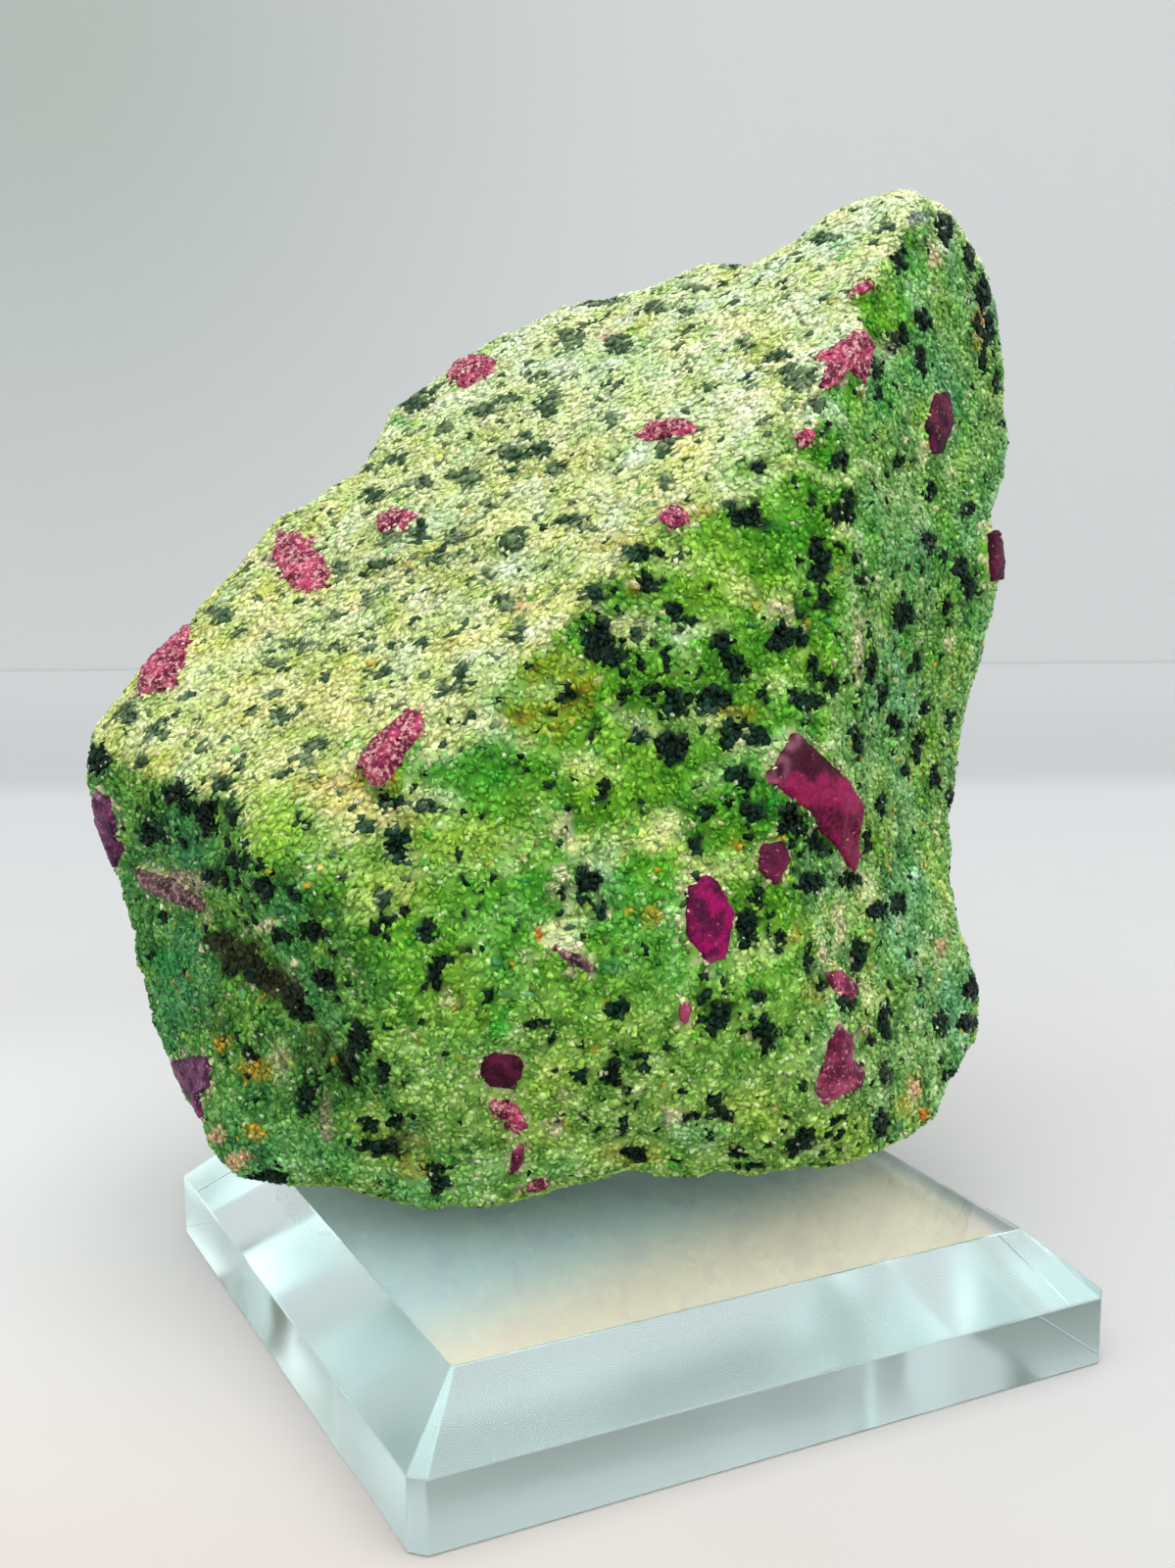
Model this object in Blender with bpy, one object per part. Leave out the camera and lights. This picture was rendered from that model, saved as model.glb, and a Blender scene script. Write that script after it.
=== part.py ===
"""A specimen of ruby in zoisite that stands on a bevelled square block of clear glass.

Lengths in this file are in millimetres, and they become metres when a mesh is made. +Z is up, and the
origin is the middle of the glass block's underside. A place on the rock is a direction from ROCK_CENTRE:
a bearing, in degrees from +X towards +Y, and a tilt, in degrees above the horizontal.
"""

import bmesh
import bpy
import numpy as np
from mathutils import noise

MM = 0.001
GAP = 0.3  # clearance between pieces that touch

# ---------------------------------------------------------------- glass block

BLOCK_SIDE = 100.0
BLOCK_HEIGHT = 17.3
BEVEL_DROP = 7.9  # height that the bevel takes off the side
BEVEL_INSET = 8.5  # width of the bevel, seen from above
CORNER_CLIP = 1.8  # taken off each upright corner, measured along a side
TOP_CORNER_CLIP = 0.4

# ------------------------------------------------------------------------ rock

ROCK_CENTRE = np.array((6.0, 22.0, 84.0))
REST_HEIGHT = BLOCK_HEIGHT + GAP
EDGE_SHARPNESS = 26  # a higher number turns from one broken face to the next in less width

# Each broken face: the bearing and tilt that it looks towards, and its distance from ROCK_CENTRE.
BROKEN_FACES = {
    "slope": (-148, 49, 29),
    "front": (-100, 14.5, 32),
    "front_low": (-108.5, -22, 54),
    "shoulder": (-125, 26, 36),
    "left": (-159.5, -10.5, 59),
    "left_low": (-158, -21, 72.5),
    "left_corner": (150, 40.5, 52.5),
    "right_high": (-71, 6.5, 41),
    "right": (-65, 11.5, 44.5),
    "right_side": (-10, -4.5, 75),
    "right_low": (-23.5, -35.5, 84.5),
    "crown": (18, 80, 84.5),
    "crown_right": (-12, 31.5, 99),
    "back": (81, 8.5, 42.5),
    "back_high": (85.5, 46, 68),
    "back_low": (83, -35.5, 54),
    "back_left": (131, -12, 65),
    "back_right": (39, -4.5, 63),
    "foot": (0, -90, 66.5),
    "foot_left": (-172.5, -65.5, 82.5),
}

# Each lump, or hollow where its height is below zero: bearing, tilt, spread in degrees, and height.
LUMPS = {
    "waist": (-13, -20, 26, -13.5),
    "right_knob": (-16, -41.5, 7.5, 8),
    "right_notch": (-5.5, 19, 3.5, -5),
    "crown_hollow": (18, 57.5, 6, -10.5),
    "back_notch": (121, 39, 8.5, -4.5),
    "crest_notch": (42.5, 61, 8, -5.5),
    "left_bulge": (171, -6, 11, -2.5),
    "heel_left": (-178.5, -48, 6.5, 7.5),
    "heel": (-140, -60, 7, 2.5),
    "heel_arch": (-104.5, -71, 7.5, -2.5),
    "shoulder_lobe": (-162, -13, 5, 2.5),
    "vug": (-119, -28, 3, -1.8),
    "vug_mouth": (-116, -19, 1.8, -2.6),
    "window_recess": (-128, -45, 4.5, -1.2),
    "ledge_chip": (-25, 50, 4, -1.6),
    "back_scallop": (70, 20, 14, -4),
    "back_shelf": (100, -12, 11, 3),
    "under_scallop": (30, -70, 12, -4),
}

# Each furrow or rib follows the arc between two directions: start, end, width, and height.
FURROWS = {
    "left_trough_high": ((163, -17), (-175, -24), 3.0, -2.4),
    "left_trough_mid": ((-175, -24), (-157, -39), 4.0, -3.0),
    "left_trough_low": ((-157, -39), (-143, -54), 3.5, -2.2),
    "slope_ledge": ((-27, 58), (-21, 47), 2.2, -2.0),
    "slope_rib_high": ((120, 56), (-60, 66), 3.0, 1.0),
    "slope_rib_low": ((160, 32), (-130, 58), 3.0, 0.9),
    "front_furrow": ((-62, -32), (-39, -24), 3.0, -1.5),
    "front_rib": ((-124, -36), (-105, -25), 3.0, 1.0),
    "back_furrow_high": ((60, 35), (120, 18), 4.0, -2.6),
    "back_furrow_low": ((45, -18), (115, -32), 4.0, -2.4),
    "left_back_furrow": ((140, -30), (150, 15), 3.5, -2.0),
}

SWELL_SIZE = 26.0  # across one gentle swell of the broken surface
SWELL_HEIGHT = 1.3
KNUCKLE_SIZE = 9.0  # across one rounded cluster of grains
KNUCKLE_HEIGHT = 2.0
KNUCKLE_LEVEL = 0.35  # raises the knuckles until their mean height is about nil
CHIP_SIZE = 5.0
CHIP_HEIGHT = 0.8
FURROW_FADE = 0.08  # share of a furrow's half length over which it runs out past its end
BALL_SUBDIVISIONS = 7
ROCK_TRIANGLES = 6500

# ----------------------------------------------------------------- ruby crystals

# The outline that the broken rock shows of a crystal, anticlockwise, as shares of its width and length.
OUTLINES = {
    "blade": (
        (0.42, 0.5), (-0.47, 0.5), (-0.5, -0.15), (-0.39, -0.5), (-0.14, -0.5), (0, -0.3),
        (0.5, -0.3), (0.5, 0),
    ),
    "hexagon": (
        (0.12, 0.5), (-0.32, 0.37), (-0.5, -0.12), (-0.22, -0.5), (0.12, -0.5), (0.5, -0.04),
        (0.3, 0.39),
    ),
    "barrel": (
        (0.15, 0.5), (-0.31, 0.47), (-0.5, -0.1), (-0.39, -0.45), (0.39, -0.5), (0.5, -0.18),
        (0.41, 0.27),
    ),
    "wedge": (
        (-0.05, 0.5), (-0.5, 0.5), (-0.5, 0.23), (-0.32, -0.42), (-0.03, -0.5), (0.5, 0.06),
        (0.49, 0.29), (0.08, 0.28),
    ),
    "saddle": (
        (0.04, 0.5), (-0.3, 0.43), (-0.5, -0.2), (-0.24, -0.25), (-0.1, -0.5), (0.08, -0.48),
        (0.12, -0.08), (0.5, -0.03),
    ),
    "window": (
        (-0.08, 0.5), (-0.36, 0.45), (-0.5, 0.11), (-0.49, -0.16), (-0.03, -0.5), (0.23, -0.28),
        (0.5, 0.11), (0.17, 0.35),
    ),
    "chunk": (
        (-0.24, 0.5), (-0.5, 0.2), (-0.23, -0.02), (-0.28, -0.5), (0.2, -0.42), (0.5, 0),
        (0.23, 0.37),
    ),
    "plate": (
        (0.1, 0.5), (-0.47, 0.21), (-0.5, -0.3), (0.08, -0.5), (0.45, -0.34), (0.5, 0.17),
    ),
    "shard": (
        (0.14, 0.5), (-0.5, 0.28), (-0.46, -0.25), (0.24, -0.5), (0.5, 0.14),
    ),
    "splinter": (
        (0.22, 0.5), (-0.43, 0.33), (-0.5, -0.07), (-0.3, -0.5), (0.21, -0.48), (0.5, -0.05),
    ),
}

# Each crystal: outline, bearing, tilt, length, width, turn and stand. The turn is the angle of its length
# from straight up the rock's surface, clockwise from outside. It stands that far out of the rock.
RUBIES = {
    "blade": ("blade", -57.5, -15.5, 25, 9.5, -47, 0.5),
    "hexagon": ("hexagon", -89.5, -31.5, 12, 8, -6, 0.6),
    "barrel": ("barrel", -149, -0.5, 11.5, 5.5, 27, 0.9),
    "left_crest": ("barrel", 157, 7.5, 17, 8, -36, 0.6),
    "upper_left": ("plate", 150.5, 27, 20, 6.5, -50, 0.4),
    "left_edge": ("barrel", 163.5, -13.5, 12.5, 6.5, 31, 1.0),
    "dark_window": ("window", -129, -46.5, 8, 7, -27, -0.6),
    "pink_chunk": ("chunk", -129.5, -51.8, 7, 3.8, -41, 0.6),
    "streak": ("splinter", -128.5, -56.5, 5.5, 2, 10, 0.3),
    "foot": ("shard", -125, -61, 4, 3, -58, 0.4),
    "peak_small": ("shard", -21.5, 54.5, 4, 2, 61, 0.4),
    "ridge": ("saddle", -35, 50.5, 15, 8, 57, 0.7),
    "ridge_small": ("shard", -51, 47, 4, 2.5, 52, 0.5),
    "right_upright": ("plate", -15.5, 35.5, 12.5, 6.5, 38, 0.5),
    "right_edge": ("barrel", -10.5, 16, 9, 6, -5, 1.8),
    "small_dark": ("shard", -75.5, -23.5, 6.5, 5, 22, 0.4),
    "pink_low": ("plate", -60.5, -39, 9.5, 3.5, -59, 0.4),
    "wedge_low": ("wedge", -64.5, -46, 10.5, 10.5, 42, 0.7),
    "back_crest": ("plate", 97, 59, 10, 7, -70, 0.6),
    "slope_flat": ("plate", -56, 68.5, 10, 4, 84, 0.4),
    "slope_small": ("shard", -83.5, 47.5, 4.5, 4, -44, 0.5),
    "slope_left": ("shard", 153, 46, 7, 4.5, -87, 0.4),
    "faint": ("splinter", -116, -33, 6, 2, -59, 0.3),
    "tiny": ("shard", -96, -41, 3.5, 2, 10, 0.3),
    "left_low": ("wedge", 171, -42.5, 16, 9, 81, 0.8),
    "left_streak": ("splinter", 171.5, -21.5, 19, 3.5, -84, 0.4),
    "back_large": ("hexagon", 88, 6, 15, 10, 20, 0.8),
    "back_high": ("plate", 74, 40, 11, 6, -60, 0.5),
    "back_foot": ("wedge", 92, -40, 10, 7, 15, 0.6),
    "back_left": ("barrel", 128, 12, 13, 6, 40, 0.7),
    "back_left_low": ("shard", 140, -28, 8, 6, -20, 0.5),
    "back_right": ("chunk", 44, 18, 9, 6, -35, 0.6),
    "back_right_low": ("plate", 36, -34, 12, 6, 70, 0.5),
    "right_waist": ("shard", 6, -22, 7, 5, 15, 0.5),
    "back_underside": ("plate", 75, -58, 9, 6, 30, 0.5),
}
RUBY_DEPTH = 4.5  # reach below the lowest point of its outline
CHAMFER_INSET = 0.14  # share of the outline that the crystal's worn rim takes
CHAMFER_DROP = 0.35
CROWN_RISE = 0.25
POCKET_REACH = 9.0  # how far a pocket's cutter runs out of the rock
SLOPE_SHARE = 0.3  # share of a crystal's mean width over which the rock's slope is measured


def material(name, colour, roughness, transmission=0.0, ior=1.5):
    made = bpy.data.materials.new(name)
    made.use_nodes = True
    shader = made.node_tree.nodes["Principled BSDF"]
    shader.inputs["Base Color"].default_value = (*colour, 1.0)
    shader.inputs["Roughness"].default_value = roughness
    shader.inputs["Metallic"].default_value = 0.0
    shader.inputs["Transmission Weight"].default_value = transmission
    shader.inputs["IOR"].default_value = ior
    return made


def add_object(name, points, faces, surface):
    """A mesh object from points in millimetres, with its faces turned outwards."""
    mesh = bpy.data.meshes.new(name)
    mesh.from_pydata([tuple(point * MM) for point in np.asarray(points, float)], [], faces)
    form = bmesh.new()
    form.from_mesh(mesh)
    bmesh.ops.recalc_face_normals(form, faces=form.faces)
    form.to_mesh(mesh)
    form.free()
    mesh.materials.append(surface)
    made = bpy.data.objects.new(name, mesh)
    bpy.context.scene.collection.objects.link(made)
    return made


# ---------------------------------------------------------------- glass block


def clipped_square(half, clip, height):
    """The eight corners of a square whose corners are cut off, anticlockwise."""
    corners = []
    for quarter in range(4):
        turn = quarter * np.pi / 2
        cos, sin = np.cos(turn), np.sin(turn)
        for x, y in ((half, half - clip), (half - clip, half)):
            corners.append((x * cos - y * sin, x * sin + y * cos, height))
    return corners


def ring_faces(rings, count):
    """Faces of a closed stack of rings with the same number of points."""
    faces = [tuple(reversed(range(count)))]
    for ring in range(rings - 1):
        for point in range(count):
            after = (point + 1) % count
            low, high = ring * count, (ring + 1) * count
            faces.append((low + point, low + after, high + after, high + point))
    faces.append(tuple(range((rings - 1) * count, rings * count)))
    return faces


def add_block(surface):
    half = BLOCK_SIDE / 2
    points = clipped_square(half, CORNER_CLIP, 0.0)
    points += clipped_square(half, CORNER_CLIP, BLOCK_HEIGHT - BEVEL_DROP)
    points += clipped_square(half - BEVEL_INSET, TOP_CORNER_CLIP, BLOCK_HEIGHT)
    return add_object("base_block", points, ring_faces(3, 8), surface)


# ------------------------------------------------------------------------ rock


def towards(bearing, tilt):
    bearing, tilt = np.radians(bearing), np.radians(tilt)
    return np.array((np.cos(tilt) * np.cos(bearing), np.cos(tilt) * np.sin(bearing), np.sin(tilt)))


def broken_radius(directions):
    """Distance from ROCK_CENTRE to the block that the broken faces enclose, with slightly worn edges."""
    reach = np.zeros(len(directions))
    for bearing, tilt, distance in BROKEN_FACES.values():
        facing = np.maximum(directions @ towards(bearing, tilt), 0.0)
        reach += (facing / distance) ** EDGE_SHARPNESS
    return reach ** (-1.0 / EDGE_SHARPNESS)


def add_lumps(directions, radius):
    for bearing, tilt, spread, height in LUMPS.values():
        facing = np.clip(directions @ towards(bearing, tilt), -1.0, 1.0)
        radius = radius + height * np.exp(-((np.degrees(np.arccos(facing)) / spread) ** 2))
    return radius


def add_furrows(directions, radius):
    """Furrows and ribs, each along the great circle from its start to its end, fading past both."""
    for start, end, width, height in FURROWS.values():
        first, last = towards(*start), towards(*end)
        pole = np.cross(first, last)
        pole /= np.linalg.norm(pole)
        middle = (first + last) / np.linalg.norm(first + last)
        half_arc = np.arccos(np.clip(first @ middle, -1.0, 1.0))
        off_line = np.arcsin(np.clip(directions @ pole, -1.0, 1.0)) * radius
        along = np.arccos(np.clip(directions @ middle, -1.0, 1.0)) / half_arc
        fade = 1.0 / (1.0 + np.exp((along - 1.0) / FURROW_FADE))
        radius = radius + height * fade * np.exp(-((off_line / width) ** 2))
    return radius


def grain_relief(point):
    """Height of the swells, knuckles and chips of the broken surface at a point."""
    swell = noise.noise(point / SWELL_SIZE) * SWELL_HEIGHT
    nearest = noise.voronoi(point / KNUCKLE_SIZE)[0][0]
    knuckle = (KNUCKLE_LEVEL - nearest**2) * KNUCKLE_HEIGHT
    chip = noise.noise(point / CHIP_SIZE) * CHIP_HEIGHT
    return swell + knuckle + chip


def rock_radius(directions):
    radius = add_furrows(directions, add_lumps(directions, broken_radius(directions)))
    points = ROCK_CENTRE + directions * radius[:, None]
    return radius + np.array([grain_relief(point) for point in points])


def rock_point(direction):
    direction = direction / np.linalg.norm(direction)
    return ROCK_CENTRE + direction * rock_radius(direction[None])[0]


def add_rock(surface):
    """A fine ball pushed out to the rock's surface, then thinned to the broad facets that it keeps."""
    ball = bmesh.new()
    bmesh.ops.create_icosphere(ball, subdivisions=BALL_SUBDIVISIONS, radius=1.0)
    directions = np.array([vertex.co.normalized() for vertex in ball.verts])
    faces = [tuple(vertex.index for vertex in face.verts) for face in ball.faces]
    ball.free()
    points = ROCK_CENTRE + directions * rock_radius(directions)[:, None]
    points[:, 2] = np.maximum(points[:, 2], REST_HEIGHT)
    rock = add_object("zoisite_rock", points, faces, surface)
    thin = rock.modifiers.new("broad facets", "DECIMATE")
    thin.ratio = ROCK_TRIANGLES / len(faces)
    return rock


# ----------------------------------------------------------------- ruby crystals


def surface_frame(bearing, tilt, step):
    """A point on the rock with the directions out of, up along and right along its surface there."""
    direction = towards(bearing, tilt)
    side = np.cross((0.0, 0.0, 1.0), direction)
    side /= np.linalg.norm(side)
    rise = np.cross(direction, side)
    point = rock_point(direction)
    lean = step / np.linalg.norm(point - ROCK_CENTRE)
    across = rock_point(direction + side * lean) - rock_point(direction - side * lean)
    upward = rock_point(direction + rise * lean) - rock_point(direction - rise * lean)
    out = np.cross(across, upward)
    out /= np.linalg.norm(out)
    up = np.array((0.0, 0.0, 1.0)) - out[2] * out
    up /= np.linalg.norm(up)
    return point, out, up, np.cross(up, out)


def widened(outline, margin):
    """An anticlockwise outline moved outwards by a margin, with mitred corners."""
    edges = np.roll(outline, -1, axis=0) - outline
    edges /= np.linalg.norm(edges, axis=1)[:, None]
    normals = np.stack((edges[:, 1], -edges[:, 0]), axis=1)
    before = np.roll(normals, 1, axis=0)
    mitre = normals + before
    share = 1.0 + (normals * before).sum(axis=1)
    return outline + margin * mitre / share[:, None]


def prism(outline, low, high):
    """Points of a straight prism in a crystal's own frame, its ends at one height or at one for each."""
    low = np.broadcast_to(low, len(outline))
    high = np.broadcast_to(high, len(outline))
    return [np.column_stack((outline, low)), np.column_stack((outline, high))]


def add_ruby(name, surface, pockets):
    """One crystal, whose top follows the rock around it, and the cutter that makes room for it."""
    outline_name, bearing, tilt, length, width, turn, stand = RUBIES[name]
    place, out, up, right = surface_frame(bearing, tilt, SLOPE_SHARE * np.sqrt(length * width))
    turn = np.radians(turn)
    along = up * np.cos(turn) + right * np.sin(turn)
    across = right * np.cos(turn) - up * np.sin(turn)
    outline = np.array(OUTLINES[outline_name]) * (width, length)

    def height_of_rock(spot):
        return (rock_point(place + across * spot[0] + along * spot[1] - ROCK_CENTRE) - place) @ out

    def in_rock(local):
        return place + local @ np.array((across, along, out))

    rim = np.array([height_of_rock(spot) for spot in outline]) + stand - CHAMFER_DROP
    floor = rim.min() - RUBY_DEPTH
    inner = outline * (1.0 - CHAMFER_INSET)
    shoulder = np.array([height_of_rock(spot) for spot in inner]) + stand
    middle = max(height_of_rock((0.0, 0.0)) + stand, shoulder.mean())
    crown = np.array([[0.0, 0.0, middle + CROWN_RISE]])
    rings = prism(outline, floor, rim) + [np.column_stack((inner, shoulder)), crown]
    count = len(outline)
    faces = ring_faces(3, count)[:-1]
    faces += [(2 * count + point, 2 * count + (point + 1) % count, 3 * count) for point in range(count)]
    add_object("ruby_" + name, in_rock(np.vstack(rings)), faces, surface)

    pocket_rings = prism(widened(outline, GAP), floor - GAP, rim.max() + POCKET_REACH)
    pocket = add_object("pocket_" + name, in_rock(np.vstack(pocket_rings)), ring_faces(2, count), surface)
    bpy.context.scene.collection.objects.unlink(pocket)
    pockets.objects.link(pocket)
    pocket.hide_render = True
    pocket.display_type = "WIRE"


def build():
    for existing in list(bpy.data.objects):
        bpy.data.objects.remove(existing)
    zoisite = material("zoisite", (0.22, 0.42, 0.10), 0.45)
    ruby = material("ruby", (0.42, 0.02, 0.12), 0.3)
    glass = material("glass", (0.80, 0.92, 0.91), 0.02, transmission=1.0, ior=1.5)

    add_block(glass)
    rock = add_rock(zoisite)
    pockets = bpy.data.collections.new("pockets")
    bpy.context.scene.collection.children.link(pockets)
    pockets.hide_render = True
    for name in RUBIES:
        add_ruby(name, ruby, pockets)
    room = rock.modifiers.new("room for the rubies", "BOOLEAN")
    room.operation = "DIFFERENCE"
    room.operand_type = "COLLECTION"
    room.collection = pockets
    room.solver = "EXACT"


build()
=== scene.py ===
"""The looks of a ruby in zoisite specimen on its clear display block.

Places on the rock that were read off the picture are (column, row) in a 1199 x 1600 frame, and are
carried to the rock's surface through the camera. Sizes are in millimetres unless a comment says otherwise,
and MM makes them metres.
"""

from collections import namedtuple

import bmesh
import bpy
import numpy as np
from mathutils import Matrix, Vector, noise
from mathutils.bvhtree import BVHTree


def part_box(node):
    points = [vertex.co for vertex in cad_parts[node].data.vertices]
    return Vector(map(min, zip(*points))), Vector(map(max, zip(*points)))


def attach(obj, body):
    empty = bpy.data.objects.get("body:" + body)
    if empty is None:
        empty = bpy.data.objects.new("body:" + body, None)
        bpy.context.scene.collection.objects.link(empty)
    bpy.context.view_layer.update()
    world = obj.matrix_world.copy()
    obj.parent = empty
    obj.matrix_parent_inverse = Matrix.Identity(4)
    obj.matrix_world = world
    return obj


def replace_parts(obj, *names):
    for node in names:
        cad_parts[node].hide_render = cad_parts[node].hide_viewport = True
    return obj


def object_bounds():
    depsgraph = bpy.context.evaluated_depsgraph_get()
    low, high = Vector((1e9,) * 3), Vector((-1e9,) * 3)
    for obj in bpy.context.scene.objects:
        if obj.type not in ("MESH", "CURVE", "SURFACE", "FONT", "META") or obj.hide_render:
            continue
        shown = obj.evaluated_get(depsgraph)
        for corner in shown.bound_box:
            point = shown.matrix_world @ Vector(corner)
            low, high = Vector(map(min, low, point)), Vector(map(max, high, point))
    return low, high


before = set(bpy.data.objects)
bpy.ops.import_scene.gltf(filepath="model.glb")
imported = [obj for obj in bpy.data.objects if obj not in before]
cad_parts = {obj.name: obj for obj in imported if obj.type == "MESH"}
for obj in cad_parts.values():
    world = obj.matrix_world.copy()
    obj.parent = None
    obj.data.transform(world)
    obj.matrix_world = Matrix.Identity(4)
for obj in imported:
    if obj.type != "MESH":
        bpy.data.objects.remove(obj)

MM = 0.001
cad_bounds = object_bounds()
chance = np.random.default_rng(42)

# ---------- camera

FRAME_WIDTH, FRAME_HEIGHT = 1199, 1600
FOCAL_PIXELS = 1900.86
CAMERA_PLACE = np.array((-115.607, -226.970, 122.714)) * MM
CAMERA_VIEW = np.array((0.437469, 0.880359, -0.183276))
CAMERA_ROLL = np.radians(-0.433)
SENSOR_WIDTH = 36.0
NEAREST_SEEN = 10.0


def camera_axes():
    """The directions right, up and forward of the picture."""
    forward = CAMERA_VIEW / np.linalg.norm(CAMERA_VIEW)
    right = np.cross(forward, (0.0, 0.0, 1.0))
    right /= np.linalg.norm(right)
    up = np.cross(right, forward)
    cos, sin = np.cos(CAMERA_ROLL), np.sin(CAMERA_ROLL)
    return right * cos + up * sin, up * cos - right * sin, forward


RIGHT, UP, FORWARD = camera_axes()


def pixels_of(points):
    """Column, row and depth in metres of points in the picture."""
    offset = points - CAMERA_PLACE
    depth = offset @ FORWARD
    column = FRAME_WIDTH / 2 + FOCAL_PIXELS * (offset @ RIGHT) / depth
    row = FRAME_HEIGHT / 2 - FOCAL_PIXELS * (offset @ UP) / depth
    return column, row, depth


def ray_of(column, row):
    """The direction in which the camera sees a pixel."""
    ray = FORWARD + RIGHT * (column - FRAME_WIDTH / 2) / FOCAL_PIXELS
    ray = ray - UP * (row - FRAME_HEIGHT / 2) / FOCAL_PIXELS
    return Vector(ray / np.linalg.norm(ray))


def add_camera():
    lens = bpy.data.cameras.new("camera")
    lens.sensor_fit = "HORIZONTAL"
    lens.sensor_width = SENSOR_WIDTH
    lens.lens = FOCAL_PIXELS / FRAME_WIDTH * SENSOR_WIDTH
    lens.clip_start = NEAREST_SEEN * MM
    camera = bpy.data.objects.new("camera", lens)
    bpy.context.scene.collection.objects.link(camera)
    turned = Matrix((RIGHT, UP, -FORWARD)).transposed().to_4x4()
    turned.translation = Vector(CAMERA_PLACE)
    camera.matrix_world = turned
    bpy.context.scene.camera = camera


# ---------- what lies on the rock

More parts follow.
